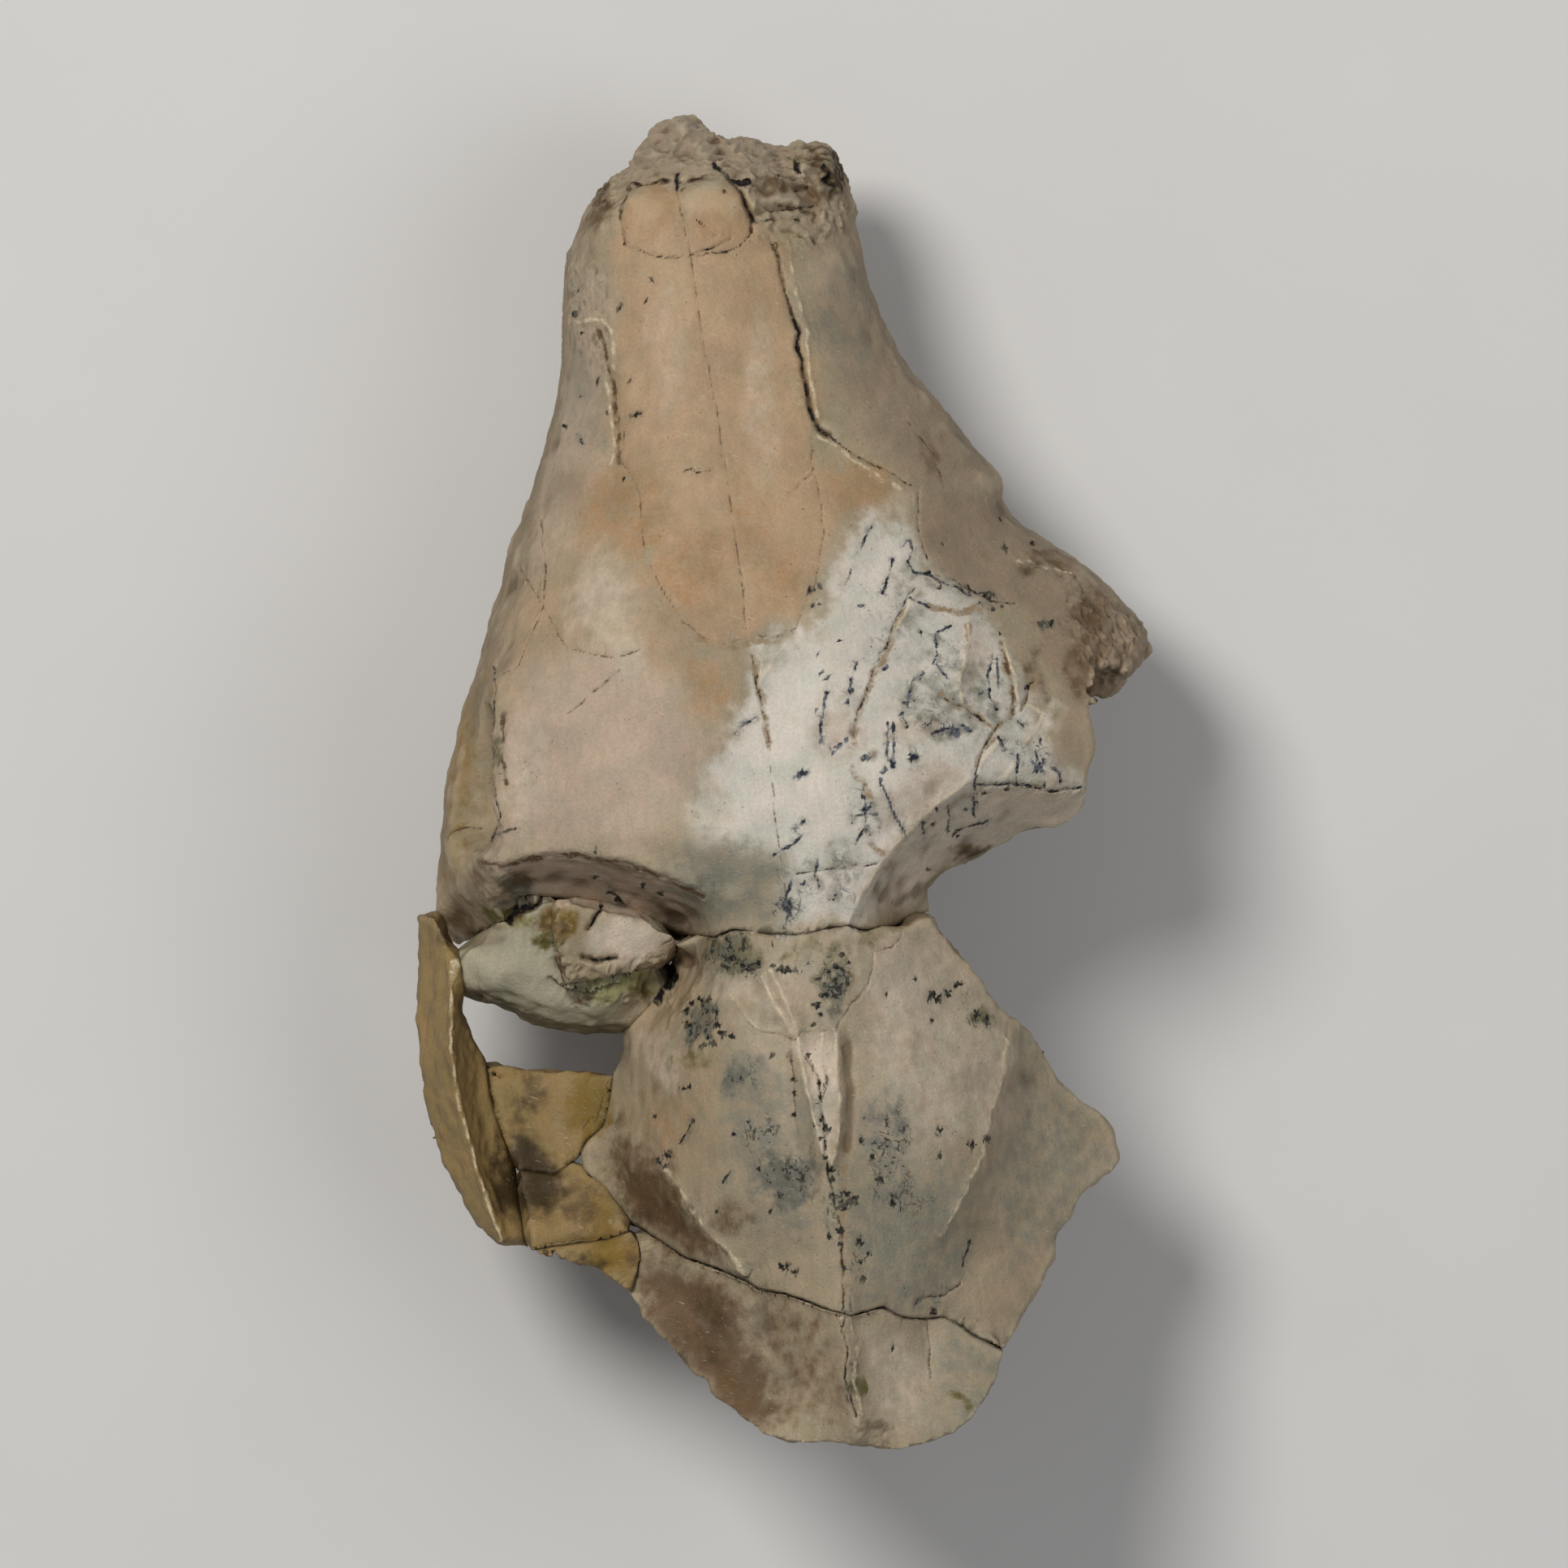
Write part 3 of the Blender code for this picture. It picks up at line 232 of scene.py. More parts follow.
# Areas of the upper side by tint: softness of the edge in millimetres, strength, photograph pixels
AREAS = {
    "tan": (
        (2.2, 0.95, (777, 224, 926, 240, 950, 300, 983, 400, 1000, 515, 1030, 600, 1040, 640, 1010, 718,
         980, 774, 934, 783, 885, 792, 842, 767, 807, 712, 790, 642, 770, 584, 757, 520, 755, 427,
         760, 330)),
        (5.0, 0.55, (690, 560, 800, 560, 880, 800, 930, 800, 890, 900, 820, 960, 610, 1020, 610, 830,
         640, 700)), (5.0, 0.5, (1000, 540, 1060, 560, 1130, 600, 1120, 650, 1040, 640)),
        (5.0, 0.4, (764, 1215, 850, 1150, 890, 1240, 900, 1400, 880, 1480, 800, 1440, 765, 1330)),
    ),
    "pink": (
        (5.0, 0.8, (640, 820, 760, 780, 840, 850, 870, 900, 850, 980, 800, 1040, 620, 1040, 612, 900)),
        (4.0, 0.55, (700, 300, 750, 330, 745, 560, 690, 700, 640, 720, 670, 500)),
        (2.0, 1.0, (600, 1058, 720, 1052, 800, 1078, 880, 1112, 830, 1155, 700, 1112, 600, 1100)),
    ),
    "fawn": (
        # This first fawn area darkens the right side of the snout: its own tone deepened as painted
        # shade.
        (5.0, 0.75, (1000, 290, 1050, 270, 1085, 400, 1190, 530, 1250, 600, 1130, 610, 1040, 540,
         1000, 400)), (3.0, 0.5, (700, 250, 760, 230, 755, 330, 700, 320)),
        (2.0, 0.9, (1135, 600, 1132, 652, 1141, 689, 1171, 713, 1196, 728, 1220, 741, 1251, 744,
         1285, 800, 1320, 880, 1310, 930, 1400, 1000, 1480, 800, 1330, 640, 1233, 603)),
        (5.0, 0.6, (1240, 1480, 1330, 1490, 1260, 1660, 1190, 1640)),
        (4.0, 0.7, (560, 1030, 606, 1030, 640, 1110, 600, 1160, 545, 1150)),
    ),
    "white": (
        (4.5, 1.0, (1080, 640, 1045, 690, 1020, 740, 1005, 775, 950, 800, 920, 850, 900, 881, 889, 920,
         870, 960, 850, 1000, 860, 1040, 960, 1060, 970, 1140, 1050, 1140, 1090, 1060, 1140, 1000,
         1200, 960, 1330, 965, 1313, 931, 1290, 878, 1265, 850, 1232, 790, 1200, 740, 1141, 700,
         1120, 650)),
    ),
    "pale": (
        (3.0, 0.9, (1060, 1120, 1098, 1060, 1150, 1000, 1210, 978, 1345, 980, 1345, 1040, 1200, 1040,
         1150, 1070, 1130, 1120)),
        (7.0, 0.5, (1050, 1150, 1150, 1130, 1260, 1290, 1240, 1400, 1120, 1450, 1060, 1400)),
        (6.0, 0.35, (840, 1150, 1060, 1150, 1060, 1420, 960, 1380, 880, 1250)),
        (5.0, 0.45, (1050, 1620, 1170, 1640, 1160, 1760, 1060, 1770)),
        (2.0, 0.75, (972, 1272, 1036, 1268, 1042, 1360, 1030, 1430, 1018, 1440, 1000, 1400, 984, 1340)),
    ),
    "grey": (
        (4.0, 0.75, (840, 1030, 900, 1030, 960, 1060, 965, 1140, 850, 1140, 820, 1080)),
        (5.0, 0.65, (1050, 1430, 1200, 1430, 1190, 1580, 1150, 1620, 1050, 1610)),
        (5.0, 0.5, (1250, 1260, 1400, 1430, 1330, 1540, 1240, 1560, 1205, 1480, 1245, 1330)),
        (5.0, 0.5, (900, 1300, 1000, 1330, 1010, 1540, 930, 1520, 890, 1400)),
        (5.0, 0.6, (1160, 1630, 1240, 1650, 1230, 1760, 1150, 1760)),
    ),
    "rock": (
        (2.0, 0.85, (760, 120, 1040, 120, 1070, 230, 1000, 300, 930, 250, 880, 212, 830, 225, 777, 220,
         740, 200)),
    ),
    "brown": (
        (3.0, 0.85, (755, 1370, 780, 1400, 818, 1442, 856, 1500, 910, 1562, 830, 1550, 780, 1510,
         # The next brown area darkens the left valley of the occiput: brown bone deepened as painted
         # shade.
         752, 1440)), (4.0, 0.95, (795, 1545, 850, 1565, 905, 1590, 960, 1740, 900, 1780, 800, 1660)),
        (4.0, 0.45, (905, 1580, 1030, 1610, 1040, 1760, 950, 1760, 930, 1660)),
    ),
    "olive": (
        (4.0, 0.4, (750, 1380, 815, 1442, 905, 1560, 800, 1530, 750, 1450)),
        (1.5, 0.45, (600, 1120, 636, 1118, 640, 1134, 604, 1138)),
    ),
    "ochre": (
        (4.0, 0.5, (530, 780, 600, 820, 600, 1030, 580, 1100, 530, 1110)),
    ),
    "slate": (
        (1.5, 0.6, (606, 1074, 640, 1078, 660, 1096, 650, 1112, 606, 1110)),
    ),
}
# Soft oval patches by tint and strength: middle and half sizes of each in photograph pixels
PATCHES = {
    "deep": {
        # deep is dark olive bone; at 645, 1455 on the rear glenoid plate and at 870, 1640 in the left
        # occiput valley it also stands in for painted shade.
        0.97: (645, 1455, 50, 60), 0.95: (1030, 205, 28, 38), 0.75: (1022, 196, 30, 26),
        0.7: (630, 1092, 34, 10), 0.6: (740, 240, 16, 26, 712, 1228, 20, 14, 1215, 1046, 46, 9),
        0.5: (645, 1360, 20, 60, 612, 1440, 16, 80, 1268, 700, 20, 6, 720, 1560, 60, 20),
        0.4: (870, 1640, 40, 60), 0.35: (830, 1500, 50, 30), 0.25: (722, 1425, 20, 20),
    },
    "brown": {
        0.8: (735, 250, 26, 40, 955, 226, 44, 14, 1290, 690, 40, 9, 1020, 205, 26, 36),
        0.75: (1345, 760, 30, 40), 0.7: (1210, 1047, 44, 14, 560, 1150, 24, 30),
        0.6: (1005, 240, 30, 16, 1345, 800, 40, 50, 903, 1500, 26, 34, 1075, 1766, 30, 12,
         590, 1070, 26, 40, 1065, 930, 12, 14, 705, 1480, 50, 44, 1330, 840, 24, 30, 1300, 698, 34, 7),
        0.5: (672, 1140, 28, 26, 830, 1450, 20, 30, 1275, 840, 16, 60, 650, 1340, 30, 60),
        0.4: (1145, 560, 24, 36, 1000, 1440, 14, 50),
    },
    "tan": {
        0.6: (1205, 925, 18, 34, 1200, 752, 20, 10), 0.5: (862, 158, 16, 22, 1017, 930, 9, 9),
        0.4: (700, 1080, 60, 14, 945, 830, 12, 30, 1188, 785, 8, 22),
    },
    "olive": {
        0.9: (672, 1162, 24, 16), 0.8: (905, 1178, 46, 26, 1048, 1718, 12, 20, 618, 1122, 34, 12),
        0.75: (1210, 1253, 14, 14),
        0.7: (895, 1172, 50, 16, 862, 1258, 22, 28, 1210, 1045, 46, 18, 1290, 768, 14, 8),
        0.6: (1032, 1195, 18, 44, 1030, 1200, 26, 46, 1175, 1730, 24, 9), 0.55: (618, 925, 9, 50),
        0.5: (1000, 190, 34, 18, 800, 1228, 34, 10, 985, 1175, 30, 16),
        0.4: (1080, 1148, 60, 14, 736, 430, 14, 34, 850, 1300, 34, 22),
    },
    "pink": {
        0.6: (1120, 1000, 60, 40, 1150, 960, 46, 30, 1130, 900, 60, 30),
        0.5: (950, 1230, 30, 30, 1030, 900, 40, 60, 1200, 820, 30, 60, 880, 990, 26, 40,
         1270, 900, 30, 30),
    },
    "pale": {
        0.95: (850, 165, 44, 44), 0.9: (775, 1150, 60, 36), 0.6: (1110, 1210, 70, 50),
        # The 0.55 oval at 742, 735 is a painted highlight on the left frontal.
        0.55: (742, 735, 60, 84), 0.5: (830, 1310, 30, 50, 1130, 1230, 50, 60, 900, 1215, 50, 30),
        0.45: (1100, 520, 40, 60),
        0.4: (775, 800, 40, 50, 930, 195, 26, 14, 1110, 1690, 40, 50, 1180, 1330, 60, 60,
         800, 1300, 30, 40),
        0.35: (1190, 670, 50, 40, 650, 950, 40, 90, 940, 480, 28, 150, 1110, 622, 30, 30,
         1000, 1340, 30, 70), 0.3: (820, 420, 30, 120),
    },
    "fawn": {
        0.5: (690, 600, 30, 50),
    },
    "orange": {
        0.6: (770, 640, 65, 90, 1055, 600, 50, 40, 805, 262, 40, 45), 0.55: (850, 700, 60, 80),
        0.5: (955, 720, 45, 60, 865, 850, 40, 60, 885, 268, 40, 42, 720, 610, 40, 40, 565, 930, 24, 110),
        0.4: (1000, 480, 25, 60, 1110, 500, 30, 50, 920, 640, 40, 80, 830, 1390, 40, 40,
         1042, 931, 12, 12), 0.35: (690, 860, 50, 60, 960, 310, 30, 30), 0.3: (800, 800, 40, 60),
    },
    "lime": {
        0.95: (765, 1215, 66, 22), 0.6: (640, 1128, 26, 8),
    },
    "white": {
        0.7: (960, 1000, 60, 100), 0.5: (1080, 760, 40, 90), 0.4: (1200, 1000, 60, 20),
    },
    "grey": {
        0.9: (963, 1449, 56, 42), 0.8: (915, 1319, 30, 38), 0.65: (1085, 1390, 40, 60),
        0.6: (960, 1115, 40, 30, 935, 1390, 50, 60),
        0.5: (860, 1260, 30, 38, 1180, 900, 40, 16, 1060, 1490, 60, 50),
        0.45: (1180, 870, 100, 70, 1120, 740, 30, 60),
        0.4: (1040, 390, 45, 110, 1020, 1240, 30, 60, 1030, 1070, 40, 40), 0.35: (700, 480, 36, 80),
    },
    "ochre": {
        0.95: (720, 1365, 30, 50), 0.9: (684, 1136, 24, 28), 0.8: (760, 1545, 50, 40),
        0.7: (735, 1500, 40, 40),
    },
    "slate": {
        0.85: (963, 1449, 42, 32), 0.7: (863, 1258, 22, 28), 0.6: (1032, 1205, 18, 40),
        0.5: (912, 1322, 24, 30, 905, 1180, 40, 16, 1284, 768, 16, 9, 1124, 931, 9, 8),
        0.4: (1038, 900, 10, 16, 1178, 905, 34, 12, 1285, 945, 26, 16),
        0.35: (1090, 1390, 40, 50, 1122, 852, 10, 18, 1152, 712, 34, 9, 1064, 1000, 20, 26),
        0.3: (1150, 800, 20, 26),
    },
}
# Dark spots by radius: the middle of each, all in photograph pixels
SPOTS = {
    8: (1049, 1480, 1042, 1484),
    7: (1180, 905, 965, 1115, 1148, 1226, 1217, 1403, 1007, 1238, 915, 1190, 962, 1192),
    6: (845, 1245, 846, 1262, 874, 1232, 890, 1274, 878, 1284, 834, 223, 1125, 932, 1066, 996, 970, 1122,
     1098, 1480, 1197, 1410, 1040, 1470, 1018, 1390, 1052, 1474, 1059, 1528, 963, 1559, 979, 1566,
     883, 1563, 823, 1424, 987, 953, 900, 1182, 925, 1192),
    5: (852, 1236, 862, 1231, 882, 1246, 884, 1262, 868, 1288, 783, 511, 708, 386, 1034, 918, 1067, 933,
     1160, 900, 1193, 899, 1279, 947, 1284, 768, 1296, 768, 1083, 1451, 1156, 1232, 1167, 1224,
     1024, 1440, 810, 1430, 970, 1560, 1150, 1605, 905, 1180, 880, 1170, 915, 1192, 935, 1186, 1030, 1190,
     1018, 1225, 1204, 1250, 1215, 1258, 979, 1345, 1026, 1452, 1035, 1514, 1021, 1522, 1062, 1553,
     1063, 1574, 1062, 1403, 1179, 1213, 1091, 822, 1012, 1225, 935, 1190, 970, 1194),
    4: (901, 1276, 858, 1275, 709, 356, 1160, 722, 1059, 748, 1048, 853, 1110, 880, 1042, 911, 1026, 925,
     1144, 706, 1212, 735, 1234, 747, 1266, 847, 1211, 978, 1241, 973, 733, 1080, 793, 1090, 815, 1100,
     732, 1049, 985, 952, 1180, 1213, 1157, 1424, 1086, 1452, 1157, 1391, 820, 1436, 893, 1565,
     1010, 1250, 1000, 1262, 865, 1240, 852, 1262, 872, 1278, 1035, 1530, 1040, 1560, 885, 1490,
     978, 1330, 1011, 1352, 1012, 1378, 1012, 1400, 1018, 1423, 1024, 1472, 1034, 1488, 1070, 1543,
     854, 1380, 1030, 1210, 1040, 1195, 1046, 1185, 1036, 1175, 1020, 1198, 1028, 1228, 1010, 1206,
     953, 1190, 900, 1165, 912, 1160),
    3: (853, 1252, 866, 1250, 872, 1262, 862, 1264, 892, 235, 802, 345, 718, 409, 775, 467, 736, 471,
     747, 510, 696, 523, 1010, 719, 1010, 724, 1001, 727, 1003, 747, 1010, 746, 1136, 778, 1034, 790,
     1008, 808, 1010, 830, 1020, 835, 1049, 836, 1044, 865, 1089, 825, 1136, 831, 1124, 847, 1121, 854,
     1116, 865, 1115, 895, 1006, 875, 1018, 854, 1092, 905, 1089, 951, 1201, 731, 1220, 736, 1225, 750,
     1231, 781, 1286, 969, 1282, 912, 1138, 1014, 1138, 1028, 1149, 1015, 1179, 1031, 1153, 997,
     1190, 998, 1144, 1072, 1234, 638, 1241, 678, 1272, 667, 935, 1440, 1100, 1660, 905, 1395, 950, 1300,
     850, 1340, 807, 1376, 976, 1306, 979, 1371, 997, 1299, 1009, 1332, 950, 1488, 1075, 1424, 1127, 1206,
     1093, 1224, 1147, 1255, 1044, 1212),
    2: (796, 371, 765, 379, 715, 488, 769, 590, 1163, 670, 1184, 691),
}
# Rough areas: depth and grain in millimetres, photograph pixels
ROUGH = (
    (1.9, 3.2, (730, 190, 790, 120, 1040, 130, 1060, 260, 1000, 310, 935, 290, 925, 250, 890, 208,
     835, 212, 777, 216, 762, 260, 730, 300)),
    (0.8, 1.8, (700, 310, 750, 315, 755, 400, 745, 460, 718, 450, 700, 400)),
    (1.5, 2.6, (1312, 700, 1420, 770, 1425, 860, 1350, 880, 1322, 800)),
    (1.1, 1.6, (640, 1105, 712, 1108, 706, 1150, 690, 1182, 650, 1178)),
    (1.0, 1.8, (690, 1182, 830, 1175, 832, 1240, 700, 1240)),
    (0.7, 1.6, (590, 1090, 650, 1090, 650, 1122, 596, 1130)),
    (0.4, 1.3, (866, 1150, 958, 1150, 958, 1205, 880, 1205)),
    (0.35, 1.2, (840, 1226, 888, 1226, 888, 1292, 840, 1292)),
    (0.35, 1.0, (918, 1410, 1008, 1410, 1008, 1484, 918, 1484)),
    (0.5, 1.3, (1010, 1160, 1060, 1160, 1046, 1245, 1004, 1260)),
    (0.6, 1.6, (1046, 1752, 1104, 1752, 1104, 1780, 1046, 1780)),
    (0.5, 1.5, (1262, 756, 1312, 756, 1312, 784, 1262, 784)),
)
# Where the black growths lie thickest, by strength: middle and half sizes in photograph pixels
GROWTHS = {
    0.9: (863, 1258, 24, 32, 905, 1185, 46, 24, 1034, 1205, 18, 42),
    0.85: (963, 1449, 46, 34, 1030, 1200, 24, 46),
    0.8: (1180, 902, 42, 16, 1157, 1390, 12, 12, 900, 1172, 44, 18),
    0.75: (1225, 740, 26, 16, 1090, 1400, 50, 60),
    0.7: (1280, 930, 40, 40, 1062, 1000, 26, 40, 975, 1118, 26, 22, 915, 1325, 26, 38, 945, 1395, 30, 34,
     1210, 1256, 16, 18, 1290, 768, 18, 12, 1012, 1350, 10, 60),
    0.6: (1125, 932, 14, 12, 1180, 1395, 20, 18, 1035, 1470, 26, 40, 1042, 1715, 10, 50,
     1030, 1500, 16, 60, 990, 1200, 30, 24), 0.55: (1110, 1460, 50, 40),
    0.5: (1010, 1085, 90, 40, 1240, 920, 40, 30, 1180, 1220, 40, 20, 1050, 1540, 26, 60,
     1000, 1400, 10, 60, 1150, 1600, 20, 16, 820, 1440, 20, 14, 905, 1555, 60, 14, 618, 925, 8, 60,
     700, 350, 18, 50), 0.45: (1175, 860, 110, 100, 1030, 920, 26, 20),
    0.4: (1090, 780, 50, 80, 860, 1090, 70, 26, 1100, 1590, 50, 26, 1075, 1766, 40, 12, 740, 1075, 60, 14,
     760, 1215, 60, 18),
    0.35: (1180, 760, 70, 50, 1150, 1010, 60, 40, 1020, 770, 20, 40, 1040, 860, 20, 60,
     880, 1500, 30, 30), 0.3: (930, 1640, 40, 60, 1100, 1200, 60, 30), 0.25: (1180, 1680, 50, 60),
}
# Tints in the order in which they are laid, and how ragged the edge of each is
TINTS = {"tan": 0.5, "orange": 0.7, "white": 1.0, "pink": 0.6, "pale": 0.5, "fawn": 0.5, "grey": 1.1,
         "rock": 0.6, "ochre": 0.8, "lime": 1.4, "olive": 1.6, "brown": 1.0, "deep": 0.9, "slate": 1.7}
# Marks: the share of the mark where its colour begins and where it is full
MARKS = {"clay": (0.1, 1.0), "stain": (0.12, 0.75), "cream": (0.15, 1.0), "ink": (0.12, 0.75),
         "dark": (0.12, 0.75)}


def skull(points):
    """Photograph pixels, x and y in turn, as skull millimetres."""
    p = np.array(points, float).reshape(-1, 2)
    x = (p[:, 0] - PHOTO_MIDDLE[0]) * PIXEL
    y = (PHOTO_MIDDLE[1] - p[:, 1]) * PIXEL
    c, s = math.cos(TURN), math.sin(TURN)
    return np.column_stack([x * c + y * s + SHIFT[0], y * c - x * s + SHIFT[1]])


def ease(a, b, v):
    """0 before a, 1 after b, and an even curve between them."""
    t = np.clip((v - a) / (b - a), 0, 1)
    return t * t * (3 - 2 * t)


def raise_to(values, chosen, level):
    """Lifts the chosen values that lie below a level."""
    values[chosen] = np.maximum(values[chosen], level)


def box_of(node):
    """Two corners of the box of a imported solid, in millimetres."""
    return [np.array(corner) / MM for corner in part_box(node)]


def new_object(name, data):
    obj = bpy.data.objects.new(name, data)
    bpy.context.scene.collection.objects.link(obj)
    return obj


# Repeatable noise

_DIRECTIONS = np.random.default_rng(5).normal(size=(256, 3))
_DIRECTIONS /= np.linalg.norm(_DIRECTIONS, axis=1)[:, None]


def noise(p, grain, seed=0):
    """Smooth noise between about -1 and 1, with lumps of the given size in millimetres."""
    q = p / grain + 31.7 * seed
    cell = np.floor(q).astype(np.int64)
    part = q - cell
    blend = part ** 3 * (part * (part * 6 - 15) + 10)
    total = np.zeros(len(p))
    for corner in range(8):
        step = np.array([corner & 1, corner >> 1 & 1, corner >> 2])
        at = cell + step
        pick = (at[:, 0] * 73856093 ^ at[:, 1] * 19349663 ^ at[:, 2] * 83492791) >> 3 & 255
        weight = np.where(step, blend, 1 - blend).prod(1)
        total += weight * ((part - step) * _DIRECTIONS[pick]).sum(1)
    return 1.5 * total


def rough_noise(p, grain, seed=0):
    """Two sizes of noise together."""
    return 0.7 * noise(p, grain, seed) + 0.4 * noise(p, grain * 0.45, seed + 1)


def facets(p, grain):
    """Angular waves that cross each other, between -1 and 1."""
    total = np.zeros(len(p))
    for i in range(3):
        way = p @ _DIRECTIONS[i + 7] / (1.6 * grain) + 0.4 * noise(p, 2 * grain, 41 + i)
        total += 4 * np.abs(way - np.floor(way + 0.5)) - 1
    return total / 3


# Meshes as arrays of points and triangles

def solid_surface(node, voxel):
    """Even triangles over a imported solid, in millimetres."""
    bm = bmesh.new()
    bm.from_mesh(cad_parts[node].data)
    bmesh.ops.remove_doubles(bm, verts=bm.verts, dist=1e-6)
    mesh = bpy.data.meshes.new("welded")
    bm.to_mesh(mesh)
    bm.free()
    obj = new_object("welded", mesh)
    even = obj.modifiers.new("even", "REMESH")
    even.mode = "VOXEL"
    even.voxel_size = voxel * MM
    shown = obj.evaluated_get(bpy.context.evaluated_depsgraph_get()).to_mesh()
    shown.calc_loop_triangles()
    verts = np.empty(3 * len(shown.vertices))
    shown.vertices.foreach_get("co", verts)
    tris = np.empty(3 * len(shown.loop_triangles), np.int32)
    shown.loop_triangles.foreach_get("vertices", tris)
    bpy.data.objects.remove(obj)
    bpy.data.meshes.remove(mesh)
    return verts.reshape(-1, 3) / MM, tris.reshape(-1, 3).astype(np.int64)


def edges_of(tris, count):
    """Each edge once, and the three edges of every triangle."""
    pairs = np.sort(tris[:, [[0, 1], [1, 2], [2, 0]]].reshape(-1, 2), axis=1)
    keys, which = np.unique(pairs[:, 0] * count + pairs[:, 1], return_inverse=True)
    return np.column_stack([keys // count, keys % count]), which.reshape(-1, 3)


def even_out(values, edges, rounds, share):
    """Moves each value towards the mean of its neighbours."""
    count = len(values)
    ends = edges.T.ravel()
    others = edges[:, ::-1].T.ravel()
    degree = np.maximum(np.bincount(ends, minlength=count), 1)
    for i in range(rounds):
        step = share[i % len(share)] if isinstance(share, tuple) else share
        mean = np.bincount(ends, values[others], minlength=count) / degree
        values = values + step * (mean - values)
    return values


def normals_of(verts, tris):
    a, b, c = (verts[tris[:, i]] for i in range(3))
    flat = np.cross(b - a, c - a)
    total = np.zeros_like(verts)
    for axis in range(3):
        for corner in range(3):
            total[:, axis] += np.bincount(tris[:, corner], flat[:, axis], minlength=len(verts))
    return total / np.maximum(np.linalg.norm(total, axis=1), 1e-12)[:, None]


def calm(verts, tris, rounds):
    """Takes the voxel steps out, then the coarse facets of the level parts, in height alone."""
    edges, _ = edges_of(tris, len(verts))
    for axis in range(3):
        verts[:, axis] = even_out(verts[:, axis], edges, 12, (0.5, -0.52))
    level = ease(0.35, 0.75, np.abs(normals_of(verts, tris)[:, 2]))
    verts[:, 2] = even_out(verts[:, 2], edges, rounds, 0.6 * level)
    return verts


def split(verts, tris, wanted):
    """Halves each edge that is longer than wanted where it lies and as it faces."""
    edges, which = edges_of(tris, len(verts))
    ends = verts[edges]
    facing = normals_of(verts, tris)[edges, 2].mean(1)
    long = np.linalg.norm(ends[:, 0] - ends[:, 1], axis=1)
    too_long = long > wanted(ends.mean(1), facing, long)
    middle = np.full(len(edges), -1)
    middle[too_long] = len(verts) + np.arange(too_long.sum())
    verts = np.vstack([verts, ends[too_long].mean(1)])
    mids = middle[which]
    halved = (mids >= 0).sum(1)
    made = [tris[halved == 0]]
    a, b, c = tris[halved == 3].T
    ab, bc, ca = mids[halved == 3].T
    made += [np.column_stack(t) for t in ((a, ab, ca), (b, bc, ab), (c, ca, bc), (ab, bc, ca))]
    for turn in range(3):
        corners = np.roll(tris, -turn, axis=1)
        cuts = np.roll(mids, -turn, axis=1)
        one = (halved == 1) & (cuts[:, 0] >= 0)
        a, b, c = corners[one].T
        made += [np.column_stack((a, cuts[one, 0], c)), np.column_stack((cuts[one, 0], b, c))]
        two = (halved == 2) & (cuts[:, 2] < 0)
        a, b, c = corners[two].T
        ab, bc = cuts[two, 0], cuts[two, 1]
        made += [np.column_stack(t) for t in ((b, bc, ab), (a, ab, bc), (a, bc, c))]
    return verts, np.vstack(made)


# Distances to the traced marks

def within(xy, low, high):
    """Which points lie in a box."""
    x, y = xy[:, 0], xy[:, 1]
    return np.flatnonzero((x > low[0]) & (x < high[0]) & (y > low[1]) & (y < high[1]))


def near(xy, line, reach):
    """Which points lie near a line, and their distance to it."""
    chosen = within(xy, line.min(0) - reach, line.max(0) + reach)
    p = xy[chosen]
    best = np.full(len(p), 1e9)
    for a, b in zip(line[:-1], line[1:]):
        step = b - a
        t = np.clip(((p - a) @ step) / max(step @ step, 1e-9), 0, 1)
        away = p - a - t[:, None] * step
        best = np.minimum(best, np.hypot(away[:, 0], away[:, 1]))
    return chosen, best


def near_spot(xy, middle, reach):
    """Which points lie near one place, and their distance to it."""
    chosen = within(xy, middle - reach, middle + reach)
    away = xy[chosen] - middle
    return chosen, np.hypot(away[:, 0], away[:, 1])


def inside(xy, line):
    """Whether each point lies inside a closed line."""
    found = np.zeros(len(xy), bool)
    chosen = within(xy, line.min(0), line.max(0))
    x, y = xy[chosen].T
    odd = np.zeros(len(x), bool)
    for (ax, ay), (bx, by) in zip(line, np.roll(line, -1, axis=0)):
        if ay != by:
            odd ^= ((ay > y) != (by > y)) & (x < (bx - ax) * (y - ay) / (by - ay) + ax)
    found[chosen] = odd
    return found


def area_weight(xy, line, soft):
    """1 well inside a closed line, 0 well outside it."""
    chosen, gap = near(xy, np.vstack([line, line[:1]]), soft)
    weight = inside(xy, line).astype(float)
    signed = np.where(weight[chosen] > 0.5, gap, -gap)
    weight[chosen] = ease(-soft, soft, signed)
    return weight


def add_ovals(values, xy, ovals):
    """Raises values in soft ovals, each falling to nothing a little outside its edge."""
    c, s = math.cos(TURN), math.sin(TURN)
    for strength, rows in ovals.items():
        for x, y, wide, high in np.reshape(rows, (-1, 4)):
            centre = skull((x, y))[0]
            reach = 1.3 * max(wide, high) * PIXEL
            chosen = within(xy, centre - reach, centre + reach)
            away = (xy[chosen] - centre) / PIXEL
            across = away[:, 0] * c - away[:, 1] * s
            up = away[:, 0] * s + away[:, 1] * c
            inner = 1 - ease(0.35, 1.25, np.hypot(across / wide, up / high))
            raise_to(values, chosen, strength * inner)


